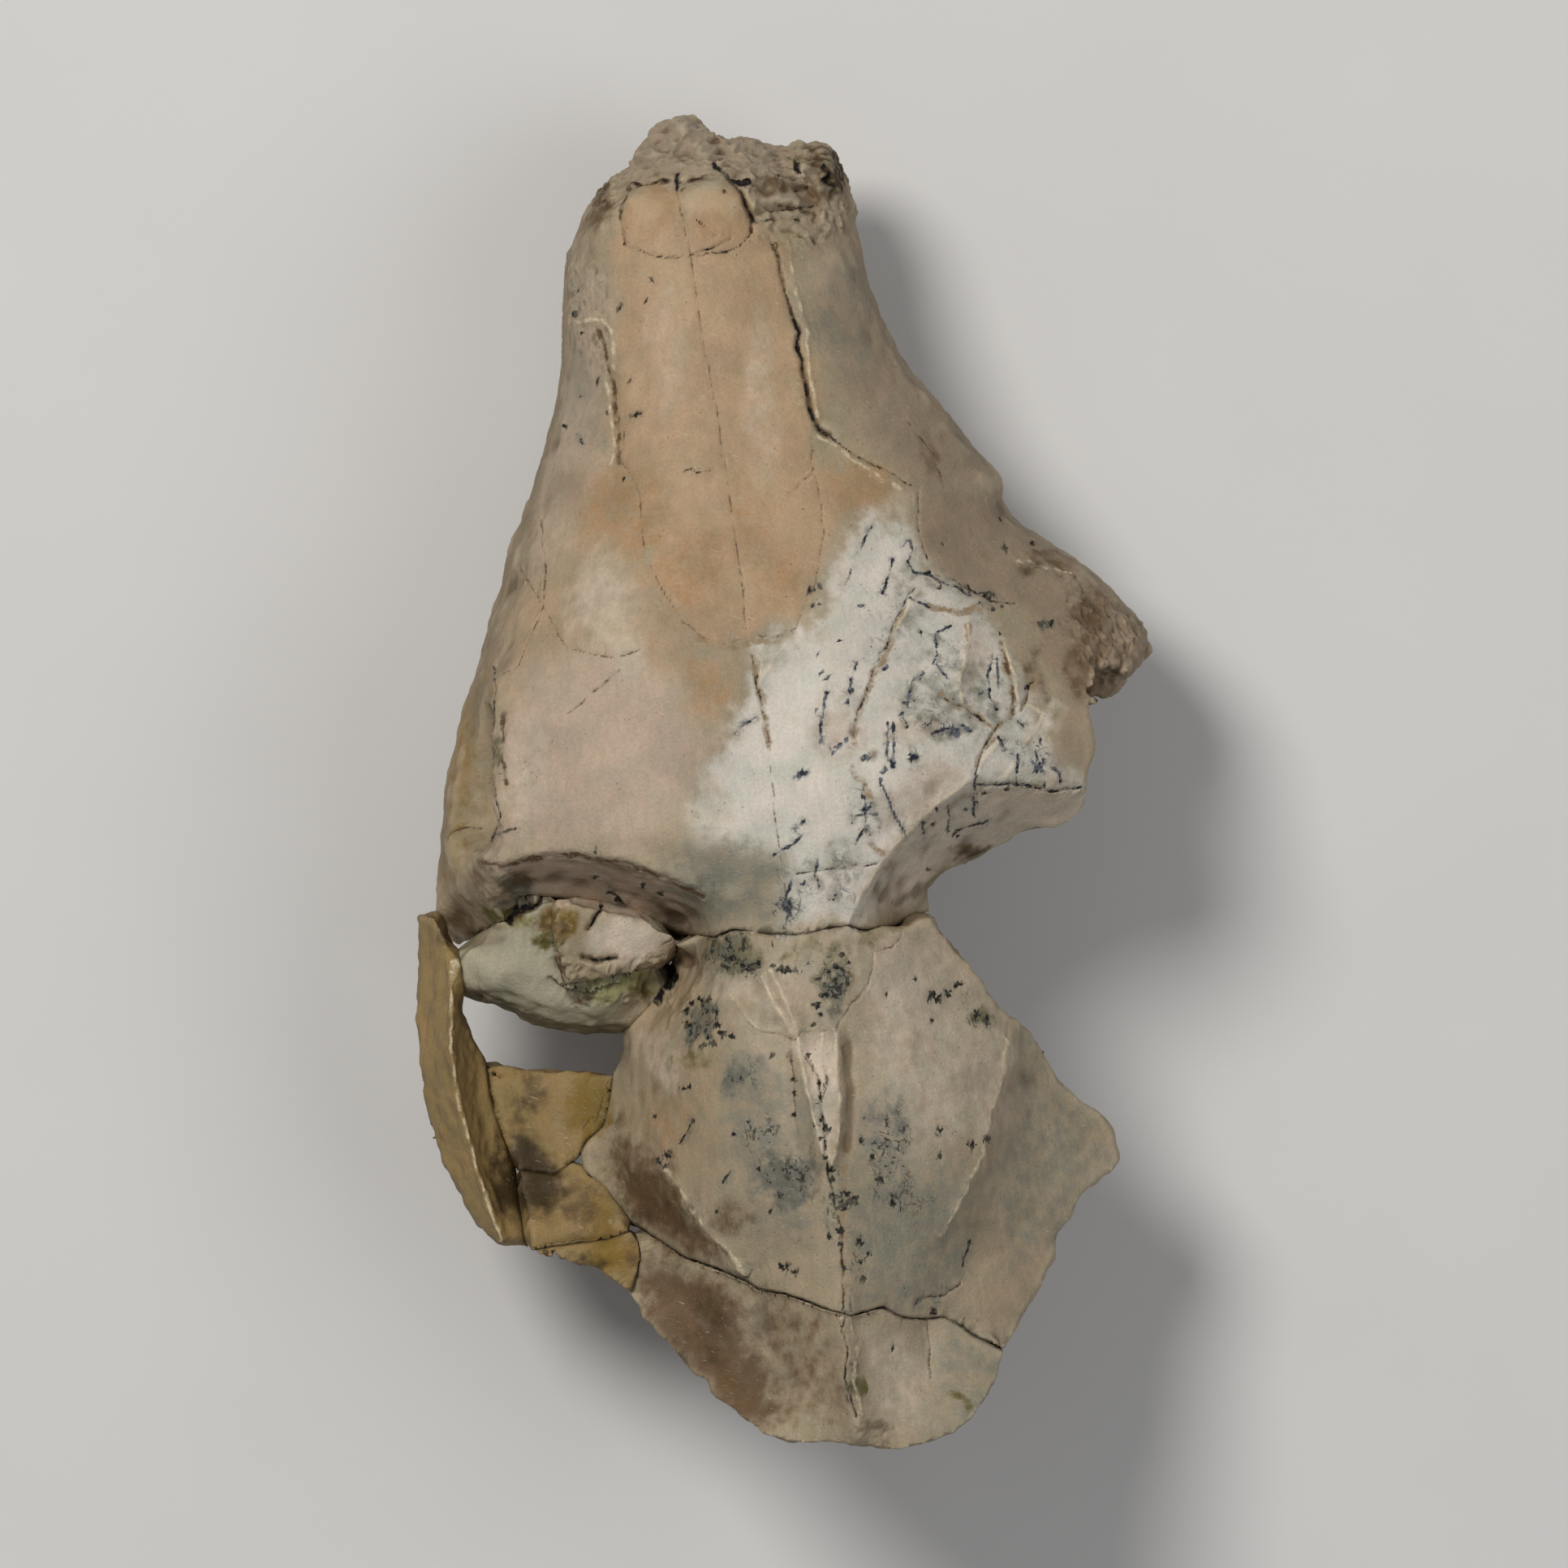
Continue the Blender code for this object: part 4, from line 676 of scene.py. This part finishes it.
# Half width, depth and mark of each kind of line; a negative depth stands up
LINE_KINDS = (
    # The dark mark of the open cracks and cracks is painted shade inside them.
    (OPEN_CRACKS, 0.4, 1.6, "dark", 1.0), (CRACKS, 0.21, 0.5, "dark", 0.7),
    (SUTURES, 0.2, 0.25, "stain", 0.6), (CREAM_AND_HIGHLIGHT_LINES, 0.45, -0.3, "cream", 0.62),
    (INK_STROKES, 0.3, 0.08, "ink", 0.9), (BROWN_LINES, 0.5, 0.45, "stain", 0.75),
    (CLAY_BANDS, 0.85, 0.12, "clay", 0.8),
)


def lines_with_kind():
    for table, width, depth, mark, strength in LINE_KINDS:
        for points in table:
            yield skull(points), width, depth, mark, strength


def spots():
    """Middle and radius of each dark spot, in millimetres."""
    for radius, points in SPOTS.items():
        for middle in skull(points):
            yield middle, radius * PIXEL


def wanted_edge(middles, facing, long):
    """Short edges along the marks of the upper side."""
    upper = np.flatnonzero(facing > -0.1)
    xy = middles[upper, :2] + wobble(middles[upper])
    margin = 0.15
    reach = margin + 0.4 * long[upper]
    short = np.full(len(xy), FAR)
    for line, width, _, _, _ in lines_with_kind():
        chosen, gap = near(xy, line, width + reach.max())
        short[chosen[gap < width + reach[chosen]]] = MARK_EDGE
    for middle, radius in spots():
        chosen, gap = near_spot(xy, middle, radius + margin)
        short[chosen[gap < radius + margin]] = MARK_EDGE
    for _, _, points in ROUGH:
        fine = inside(xy, skull(points))
        short[fine] = np.minimum(short[fine], ROUGH_EDGE)
    wanted = np.full(len(middles), FAR)
    wanted[upper] = short
    return wanted


def wobble(verts):
    """Small sideways wander that keeps the traced marks from looking ruled."""
    wide = [noise(verts, 2.8, seed) for seed in (13, 14)]
    fine = [noise(verts, 0.9, seed) for seed in (15, 16)]
    return 0.3 * np.column_stack(wide) + 0.13 * np.column_stack(fine)


def shape_marks(verts, xy, normals):
    """Height of the grooves, ridges and spots of the upper side."""
    lift = np.zeros(len(verts))
    up = ease(0.05, 0.4, normals[:, 2])
    for line, width, depth, _, _ in lines_with_kind():
        chosen, gap = near(xy, line, 3 * width)
        worn = 0.75 + 0.5 * noise(verts[chosen], 2.5, 3)
        lift[chosen] -= up[chosen] * depth * worn * np.exp(-(gap / width) ** 2)
    for width, rise, points in RIDGES:
        chosen, gap = near(xy, skull(points), 3 * width)
        lift[chosen] += up[chosen] * rise * np.exp(-(gap / width) ** 2)
    for middle, radius in spots():
        chosen, gap = near_spot(xy, middle, 2.5 * radius)
        lift[chosen] -= up[chosen] * 0.22 * np.exp(-(gap / radius) ** 2)
    return lift


def roughness(verts, xy):
    """Sharp lumps of the broken and crusted areas."""
    swell = np.zeros(len(verts))
    for depth, grain, points in ROUGH:
        weight = area_weight(xy, skull(points), 1.2)
        chosen = np.flatnonzero(weight)
        lumps = 0.3 - np.abs(rough_noise(verts[chosen], grain, 9)) + 0.3 * facets(verts[chosen], grain)
        swell[chosen] += weight[chosen] * depth * lumps
    return swell


def marks(verts, xy, normals):
    """Strength of every tint and mark at each point."""
    warp = np.column_stack([noise(verts, 8, 11), noise(verts, 8, 12)])
    soft = verts[:, :2] + 2.4 * warp + 2.5 * wobble(verts)
    up = ease(-0.05, 0.3, normals[:, 2])
    found = {name: np.zeros(len(verts)) for name in (*TINTS, *MARKS, "growth")}
    for tint, rows in AREAS.items():
        for edge, strength, points in rows:
            raise_to(found[tint], slice(None), strength * area_weight(soft, skull(points), edge))
    for tint, ovals in PATCHES.items():
        add_ovals(found[tint], soft, ovals)
    add_ovals(found["growth"], soft, GROWTHS)
    for line, width, _, mark, strength in lines_with_kind():
        chosen, gap = near(xy, line, 2 * width)
        broken = ease(-0.5, 0.25, noise(verts[chosen], 1.8, 17))
        wide = width * (0.8 + 0.6 * noise(verts[chosen], 1.4, 18))
        drawn = strength * (0.42 + 0.58 * broken) * (1 - ease(0.4 * wide, 1.3 * wide, gap))
        raise_to(found[mark], chosen, drawn)
    for middle, radius in spots():
        chosen, gap = near_spot(xy, middle, 1.8 * radius)
        gap += 0.8 * radius * noise(verts[chosen], 0.5, 19)
        raise_to(found["ink"], chosen, 0.95 * (1 - ease(0.35 * radius, 1.1 * radius, gap)))
    add_lip_highlights(found["cream"], verts, xy)
    for points in INK_STROKES:
        chosen, gap = near(xy, skull(points), 1.6)
        raise_to(found["growth"], chosen, 0.55 * (1 - ease(0.2, 1.6, gap)))
    found = {name: value * up for name, value in found.items()}
    # Steep sides lean towards a darker second colour: painted shade.
    found["flank"] = 1 - ease(0.1, 0.6, normals[:, 2])
    return found


def add_lip_highlights(cream, verts, xy):
    """Pale broken lips beside the cracks and sutures: a painted highlight on their edges."""
    for table in (OPEN_CRACKS, CRACKS, SUTURES):
        for points in table:
            chosen, gap = near(xy, skull(points), 1.3)
            patchy = ease(0.0, 0.6, noise(verts[chosen], 2.6, 27))
            lip_highlight = 0.4 * patchy * ease(0.25, 0.4, gap) * (1 - ease(0.5, 0.9, gap))
            raise_to(cream, chosen, lip_highlight)


def hollows(verts, tris, normals):
    """How deep each point lies between its neighbours, below 0 where it stands out."""
    edges, _ = edges_of(tris, len(verts))
    lag = np.column_stack([even_out(verts[:, i], edges, 3, 0.7) for i in range(3)]) - verts
    depth = (lag * normals).sum(1)
    return even_out(depth, edges, 2, 0.5)


def weather(verts, normals, rough, swell):
    """Wear all over, rough areas, and deeper breaks on the steep faces."""
    steep = 1 - ease(0.35, 0.7, np.abs(normals[:, 2]))
    grain = verts * np.array([1, 0.35, 1])
    lift = 0.16 * noise(verts, 9, 21) + 0.06 * noise(grain, 1.7, 22) + 0.03 * noise(verts, 0.9, 23)
    lift -= steep * rough * (0.05 + 0.6 * rough_noise(verts, 3.2, 24))
    under = ease(0.2, 0.7, -normals[:, 2])
    lift -= under * 0.5 * (0.4 + rough_noise(verts, 4.5, 25))
    above = ease(-0.6, 0.0, normals[:, 2])
    return verts + normals * (lift + above * swell)[:, None]


def mesh_object(name, verts, tris, values):
    mesh = bpy.data.meshes.new(name)
    mesh.vertices.add(len(verts))
    mesh.vertices.foreach_set("co", (verts * MM).ravel())
    mesh.loops.add(3 * len(tris))
    mesh.loops.foreach_set("vertex_index", tris.ravel().astype(np.int32))
    mesh.polygons.add(len(tris))
    mesh.polygons.foreach_set("loop_start", np.arange(0, 3 * len(tris), 3, dtype=np.int32))
    mesh.update(calc_edges=True)
    mesh.validate()
    mesh.shade_smooth()
    for key, value in values.items():
        layer = mesh.attributes.new(key, "FLOAT", "POINT")
        layer.data.foreach_set("value", value.astype(np.float32))
    return new_object(name, mesh)


def neighbour_gaps(verts, normals, node):
    """Distance from each steep point to the next fragment, and the step towards it."""
    gaps = np.full(len(verts), FAR)
    steps = np.zeros_like(verts)
    for name in FRAGMENTS:
        low, high = box_of(name)
        close = (verts > low - GLUED).all(1) & (verts < high + GLUED).all(1)
        if name == node or not close.any():
            continue
        tree = fragment_tree(name)
        for i in np.flatnonzero(close & (normals[:, 2] < 0.93)):
            hit = tree.find_nearest(verts[i], GLUED)
            if hit[0] is not None and hit[3] < gaps[i]:
                gaps[i] = hit[3]
                steps[i] = np.array(hit[0]) - verts[i]
    return gaps, steps


@functools.cache
def fragment_tree(node):
    """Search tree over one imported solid, in millimetres."""
    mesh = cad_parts[node].data
    points = [v.co / MM for v in mesh.vertices]
    return BVHTree.FromPolygons(points, [tuple(f.vertices) for f in mesh.polygons])


def keep_in_box(verts, node):
    """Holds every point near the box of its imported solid, and above the floor."""
    low, high = box_of(node)
    return np.clip(verts, low - SLACK if low[2] > 1 else low, high + SLACK)


def place(obj, node, slot, mat):
    obj.data.materials.append(mat)
    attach(obj, BODY)
    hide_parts(node)


def fragment(node, slot, mat, voxel, rounds=14):
    """One fragment of the skull, with its own fine surface."""
    verts, tris = solid_surface(node, voxel)
    verts = calm(verts, tris, rounds)
    for _ in range(2):
        verts, tris = split(verts, tris, wanted_edge)
    normals = normals_of(verts, tris)
    gaps, steps = neighbour_gaps(verts, normals, node)
    glued = 1 - ease(0.6 * GLUED, GLUED, gaps)
    drawn = verts[:, :2] + wobble(verts)
    lift = shape_marks(verts, drawn, normals)
    verts = weather(verts, normals, 1 - glued, roughness(verts, drawn))
    verts += CLOSED * glued[:, None] * steps * np.array([1, 1, 0.2])
    verts[:, 2] += lift
    verts = keep_in_box(verts, node)
    normals = normals_of(verts, tris)
    values = marks(verts, drawn, normals)
    # hollow drives the painted shade in the hollows and the painted highlight on raised edges.
    values["hollow"] = hollows(verts, tris, normals)
    # Near-black painted shade in the gaps to the next fragment.
    values["gap_shade"] = 1 - ease(0.5, 1.8, gaps)
    place(mesh_object(f"{node}_surface", verts, tris, values), node, slot, mat)


# Cheek teeth

TOOTH_NAMES = ("premolar_2", "premolar_3", "premolar_4", "molar_1", "molar_2", "molar_3")


def crown_lift(verts, middle, half, out, lobes):
    """Crescent valleys in the worn face and ribs down the outer wall, as x and z moves."""
    u = (verts[:, 1] - middle[1]) / half[1]
    v = out * (verts[:, 0] - middle[0]) / half[0]
    lobe = (u + 1) * lobes / 2
    part = 2 * (lobe - np.floor(np.clip(lobe, 0, lobes - 1e-6))) - 1
    worn = 1 - ease(1.0, 3.0, verts[:, 2])
    valley = np.zeros(len(verts))
    for row in (-0.45, 0.42):
        arc = v - row - 0.28 * (1 - part ** 2) * (1 if row < 0 else -1)
        valley += np.exp(-(arc / 0.13) ** 2) * ease(1.0, 0.75, np.abs(part))
    valley += 0.8 * np.exp(-((v + 0.02) / 0.1) ** 2) * ease(1.0, 0.8, np.abs(u))
    wall = ease(0.55, 0.95, v) * (1 - ease(9.0, 10.5, verts[:, 2]))
    rib = wall * (0.55 * np.cos(math.pi * part) ** 3 + 0.3 * np.cos(2 * math.pi * part))
    inner = ease(0.55, 0.95, -v) * 0.5 * (part ** 2)
    return out * (rib * -0.7 + inner * 0.9), VALLEY * worn * np.clip(valley, 0, 1)


def tooth(side, name, mat):
    node = f"{side}_{name}"
    verts, tris = solid_surface(node, TOOTH_VOXEL)
    verts = calm(verts, tris, 3)
    low, high = box_of(node)
    middle, half = (low + high) / 2, (high - low) / 2
    out = -1 if side == "left" else 1
    lobes = 2 if name.startswith("molar") else 1
    verts, tris = split(verts, tris, lambda p, *_: np.where(p[:, 2] < 3.5, 0.4, FAR))
    across, up = crown_lift(verts, middle, half, out, lobes)
    worn = up / VALLEY
    verts[:, 0] += across
    verts[:, 2] += up + 0.05 * noise(verts, 0.8, 31) * (verts[:, 2] > 0.6)
    verts = np.clip(verts, low, high)
    normals = normals_of(verts, tris)
    values = {"dentine": worn, "hollow": hollows(verts, tris, normals),
              "root": ease(6.0, 8.5, verts[:, 2])}
    place(mesh_object(f"{node}_crown", verts, tris, values), node, "tooth_enamel", mat)


# Materials

def linear(colour):
    """A colour in everyday 0 to 255 steps as linear light."""
    c = np.array(colour) / 255
    return (*np.where(c <= 0.04045, c / 12.92, ((c + 0.055) / 1.055) ** 2.4), 1.0)


COLOURS = {name: linear(colour) for name, colour in {
    "tan": (177, 150, 118), "orange": (167, 134, 95), "pink": (184, 164, 143),
    "pale": (206, 192, 172), "white": (209, 203, 190), "fawn": (150, 132, 109),
    "grey": (136, 132, 116), "rock": (158, 142, 119), "ochre": (128, 103, 42),
    "lime": (156, 152, 104), "olive": (100, 92, 46), "brown": (104, 82, 56), "deep": (62, 48, 22),
    # stain also serves as painted shade in the hollows, cream as a painted highlight on raised edges and
    # crack lips, and dark as painted shade in cracks and gaps.
    "slate": (96, 93, 80), "clay": (146, 124, 94), "stain": (92, 70, 44), "cream": (220, 204, 172),
    "dark": (18, 13, 9),
}.items()}


class Tree:
    """Short calls for building one material's nodes."""

    def __init__(self, name):
        self.mat = bpy.data.materials.new(name)
        self.mat.use_nodes = True
        self.shader = self.mat.node_tree.nodes["Principled BSDF"]
        where = self.add("TexCoord").outputs["Object"]
        self.place = self.add("Mapping", Vector=where, Scale=(1000, 1000, 1000)).outputs["Vector"]

    def add(self, kind, **sockets):
        """A new node, with the named sockets filled."""
        node = self.mat.node_tree.nodes.new("ShaderNode" + kind)
        for name, value in sockets.items():
            self.put(node.inputs[name], value)
        return node

    def put(self, socket, value):
        if isinstance(value, bpy.types.NodeSocket):
            self.mat.node_tree.links.new(value, socket)
        else:
            socket.default_value = value

    def attribute(self, name):
        node = self.add("Attribute")
        node.attribute_name = name
        return node.outputs["Fac"]

    def noise(self, grain, detail=3.0, stretch=None, turn=0.0, distortion=0.0):
        """Noise with lumps of the given size in millimetres, stretched and turned if wanted."""
        where = self.place
        if stretch:
            mapping = self.add("Mapping", Vector=where, Rotation=(0, 0, turn), Scale=stretch)
            mapping.vector_type = "TEXTURE"
            where = mapping.outputs["Vector"]
        node = self.add("TexNoise", Vector=where, Scale=1 / grain, Detail=detail,
                        Distortion=distortion)
        return node.outputs["Fac"]

    def cells(self, grain):
        return self.add("TexVoronoi", Vector=self.place, Scale=1 / grain).outputs["Distance"]

    def math(self, operation, a, b):
        node = self.add("Math")
        node.operation = operation
        self.put(node.inputs[0], a)
        self.put(node.inputs[1], b)
        return node.outputs[0]

    def times(self, a, b):
        return self.math("MULTIPLY", a, b)

    def minus(self, a, b):
        return self.math("SUBTRACT", a, b)

    def span(self, value, low, high, out_low=0.0, out_high=1.0):
        ends = {"From Min": low, "From Max": high, "To Min": out_low, "To Max": out_high}
        node = self.add("MapRange", Value=value, **ends)
        node.interpolation_type = "SMOOTHSTEP"
        return node.outputs["Result"]

    def mix(self, share, a, b, kind="MIX"):
        node = self.add("Mix")
        node.data_type = "RGBA"
        node.blend_type = kind
        self.put(node.inputs["Factor"], share)
        self.put(node.inputs["A"], a)
        self.put(node.inputs["B"], b)
        return node.outputs["Result"]

    def bump(self, height, distance, before=None):
        node = self.add("Bump", Strength=1.0, Distance=distance * MM, Height=height)
        if before:
            self.put(node.inputs["Normal"], before)
        return node.outputs["Normal"]


def tinted(t, colour, middle):
    """The tints of the surface, each with a ragged edge."""
    for tint, ragged in TINTS.items():
        share = t.attribute(tint)
        slope = t.times(share, t.minus(1.0, share))
        edge = t.times(t.minus(middle, 0.5), 6 * ragged)
        share = t.span(t.math("ADD", share, t.times(edge, slope)), 0.05, 0.95)
        colour = t.mix(share, colour, COLOURS[tint])
    return colour


def mottled(t, colour, fine):
    """Clouds, streaks and specks, from broad to fine."""
    rosy = t.span(t.noise(4.5, 2.0), 0.35, 0.65)
    colour = t.mix(0.5, colour, t.mix(rosy, (0.93, 0.98, 0.95, 1), (1.05, 0.98, 0.97, 1)), "MULTIPLY")
    cloud = t.span(t.noise(9.0, 2.0), 0.3, 0.7, 0.9, 1.08)
    speck = t.span(fine, 0.3, 0.7, 0.93, 1.05)
    grain = t.span(t.noise(0.9, 2.0, (1.0, 5.5, 1.0)), 0.3, 0.7, 0.96, 1.035)
    return t.mix(1.0, colour, t.times(t.times(cloud, speck), grain), "MULTIPLY")


def weathered_and_shaded(t, colour, worn):
    """Painted shade with dirt in the hollows, dirt in the pores, paler worn edges that also carry a
    painted highlight, and scratches.
    """
    hollow = t.attribute("hollow")
    # Painted shade, with dirt, darkens the hollows.
    colour = t.mix(t.span(hollow, 0.01, 0.16, 0.0, 0.7), colour, COLOURS["stain"])
    # Painted highlight, with wear, lightens the raised edges; worn sets its strength.
    colour = t.mix(t.span(hollow, -0.03, -0.16, 0.0, worn), colour, COLOURS["cream"])
    pores = t.span(t.cells(1.3), 0.16, 0.08)
    thick = t.span(t.noise(5.0, 1.0), 0.5, 0.66)
    colour = t.mix(t.times(pores, t.times(thick, 0.55)), colour, COLOURS["stain"])
    scratch = t.span(t.noise(0.3, 2.0, (1.0, 12.0, 1.0), 1.1), 0.66, 0.74)
    return t.mix(t.times(scratch, 0.3), colour, COLOURS["cream"])


def overgrown(t, colour, middle):
    """Black growths: hair lines, dashes and specks, thickest where the surface says."""
    growth = t.attribute("growth")
    haze = t.times(t.span(growth, 0.0, 1.0), t.span(middle, 0.4, 0.65, 0.15, 0.6))
    colour = t.mix(haze, colour, linear((128, 127, 116)))
    clump = t.times(t.span(t.noise(2.6, 2.0), 0.46, 0.6), t.span(growth, 0.15, 0.8))
    veins = t.math("ABSOLUTE", t.minus(t.noise(3.0, 3.0, distortion=1.4), 0.5), 0.0)
    black = t.times(t.span(veins, 0.022, 0.007), clump)
    for turn in (-0.35, 0.25, 1.2):
        dash = t.span(t.noise(0.55, 1.0, (1.0, 6.0, 1.0), turn), 0.62, 0.67)
        black = t.math("MAXIMUM", black, t.times(dash, clump))
    specks = t.math("ADD", t.times(t.noise(0.7, 2.0), 0.6), t.times(t.noise(2.2, 1.0), 0.4))
    limit = t.minus(0.75, t.times(growth, 0.21))
    black = t.math("MAXIMUM", black, t.span(t.minus(specks, limit), 0.0, 0.03))
    hue = t.mix(t.attribute("white"), linear((38, 36, 26)), linear((36, 43, 58)))
    return t.mix(t.times(black, 0.9), colour, hue)


def marked(t, colour):
    """Drawn marks with frayed edges, the dark ones painted shade inside the cracks, and painted shade in
    the gaps between glued neighbours.
    """
    edge = t.times(t.minus(t.noise(0.5, 2.0), 0.5), 1.8)
    white = t.attribute("white")
    faint = t.mix(white, linear((84, 80, 66)), linear((96, 101, 108)))
    strong = t.mix(white, linear((24, 22, 18)), linear((28, 32, 44)))
    inky = t.mix(t.span(t.noise(1.1, 2.0), 0.4, 0.54), faint, strong)
    for mark, (begin, full) in MARKS.items():
        share = t.attribute(mark)
        share = t.math("ADD", share, t.times(edge, share))
        tone = inky if mark == "ink" else COLOURS[mark]
        colour = t.mix(t.span(share, begin, full), colour, tone)
    # Painted shade down the gaps between fragments.
    gap_shade = t.times(t.attribute("gap_shade"), t.span(t.noise(0.9, 1.0), 0.35, 0.55, 0.4, 0.92))
    return t.mix(gap_shade, colour, COLOURS["dark"])


def bone_material(name, base, flank, roughness, worn=0.22):
    """Weathered bone: tints and marks from the surface, with fine mottling of its own; steep sides take a
    darker colour as painted shade.
    """
    t = Tree(name)
    middle = t.noise(2.2, 3.0)
    fine = t.noise(0.45, 2.0)
    # Painted shade: steep sides take the darker second colour.
    colour = t.mix(t.attribute("flank"), linear(base), linear(flank))
    colour = tinted(t, colour, middle)
    colour = mottled(t, colour, fine)
    colour = weathered_and_shaded(t, colour, worn)
    colour = overgrown(t, colour, middle)
    t.put(t.shader.inputs["Base Color"], marked(t, colour))
    rough = t.span(middle, 0.3, 0.7, roughness - 0.07, roughness + 0.08)
    t.put(t.shader.inputs["Roughness"], rough)
    t.shader.inputs["Specular IOR Level"].default_value = 0.32
    normal = t.bump(middle, 0.14)
    normal = t.bump(fine, 0.07, normal)
    normal = t.bump(t.span(t.cells(0.8), 0.0, 0.35), 0.05, normal)
    t.put(t.shader.inputs["Normal"], normal)
    return t.mat


def enamel_material():
    """Dark glossy enamel, paler dentine in the worn valleys and dull roots, with painted shade in the
    hollows and a painted highlight on the raised parts.
    """
    t = Tree("tooth_enamel_look")
    streak = t.noise(1.2, 4.0, (1.0, 1.0, 0.2))
    colour = t.mix(streak, linear((74, 54, 38)), linear((128, 100, 72)))
    colour = t.mix(t.span(t.attribute("dentine"), 0.2, 0.8), colour, linear((58, 42, 28)))
    colour = t.mix(t.attribute("root"), colour, linear((150, 130, 98)))
    hollow = t.attribute("hollow")
    # Painted shade in the hollows of the crown.
    colour = t.mix(t.span(hollow, 0.0, 0.12, 0.0, 0.8), colour, linear((34, 25, 17)))
    # Painted highlight on the raised parts of the crown.
    colour = t.mix(t.span(hollow, -0.02, -0.14, 0.0, 0.6), colour, linear((176, 150, 116)))
    t.put(t.shader.inputs["Base Color"], colour)
    t.put(t.shader.inputs["Roughness"], t.span(streak, 0.3, 0.7, 0.28, 0.45))
    t.shader.inputs["Specular IOR Level"].default_value = 0.5
    t.put(t.shader.inputs["Normal"], t.bump(t.noise(0.5, 4.0), 0.06))
    return t.mat


# Camera, light and floor

def make_camera():
    """Looks straight down, turned so that the skull lies as it does in the photograph."""
    data = bpy.data.cameras.new("camera")
    obj = new_object("camera", data)
    distance = 6.0
    roof = 0.055
    middle = skull((PHOTO_WIDTH / 2, PHOTO_WIDTH / 2))[0] * MM
    obj.location = (middle[0], middle[1], roof + distance)
    obj.rotation_euler = (0, 0, -TURN)
    data.sensor_width = 36
    data.lens = data.sensor_width * distance / (PHOTO_WIDTH * PIXEL * MM)
    data.clip_end = 50
    bpy.context.scene.camera = obj


def area_light(name, place, size, power, colour):
    data = bpy.data.lights.new(name, "AREA")
    data.shape = "DISK"
    data.size = size
    data.energy = power
    data.color = colour
    obj = new_object(name, data)
    obj.location = place
    obj.rotation_euler = (-obj.location).to_track_quat("-Z", "Y").to_euler()


def make_light():
    area_light("key", (-0.55, 0.75, 1.5), 0.6, 18, (1.0, 0.98, 0.95))
    area_light("fill", (0.9, -0.2, 1.3), 1.0, 4.5, (0.97, 0.98, 1.0))
    world = bpy.data.worlds.new("soft")
    world.use_nodes = True
    world.node_tree.nodes["Background"].inputs["Color"].default_value = (0.95, 0.96, 1.0, 1)
    world.node_tree.nodes["Background"].inputs["Strength"].default_value = 0.2
    bpy.context.scene.world = world
    bpy.context.scene.view_settings.view_transform = "Standard"


def make_floor():
    t = Tree("pale_floor")
    tone = t.mix(t.noise(60.0, 3.0), (0.70, 0.69, 0.67, 1), (0.76, 0.75, 0.73, 1))
    t.put(t.shader.inputs["Base Color"], tone)
    t.shader.inputs["Roughness"].default_value = 0.85
    bpy.ops.mesh.primitive_plane_add(size=12, location=(0, 0, 0))
    floor = bpy.context.object
    floor.name = "floor"
    floor.data.materials.append(t.mat)


def main():
    make_camera()
    make_light()
    make_floor()
    # The second colour of each look is the painted shade of its steep sides.
    bone = bone_material("weathered_bone_look", (162, 147, 121), (138, 120, 93), 0.62)
    ochre = bone_material("ochre_bone_look", (150, 126, 80), (126, 103, 66), 0.6, 0.06)
    rock = bone_material("grey_green_rock_look", (172, 166, 142), (126, 118, 92), 0.78)
    enamel = enamel_material()
    fragment("face", "weathered_bone", bone, FACE_VOXEL)
    fragment("braincase", "weathered_bone", bone, CASE_VOXEL)
    fragment("occiput", "weathered_bone", bone, SMALL_VOXEL)
    fragment("left_arch", "ochre_bone", ochre, SMALL_VOXEL, 8)
    for node in ("glenoid_front", "glenoid_rear", "corner_chip"):
        fragment(node, "ochre_bone", ochre, SMALL_VOXEL, 10)
    fragment("matrix_lump", "grey_green_rock", rock, SMALL_VOXEL, 10)
    fragment("bone_block", "weathered_bone", bone, SMALL_VOXEL, 3)
    for side in ("left", "right"):
        for name in TOOTH_NAMES:
            tooth(side, name, enamel)


main()
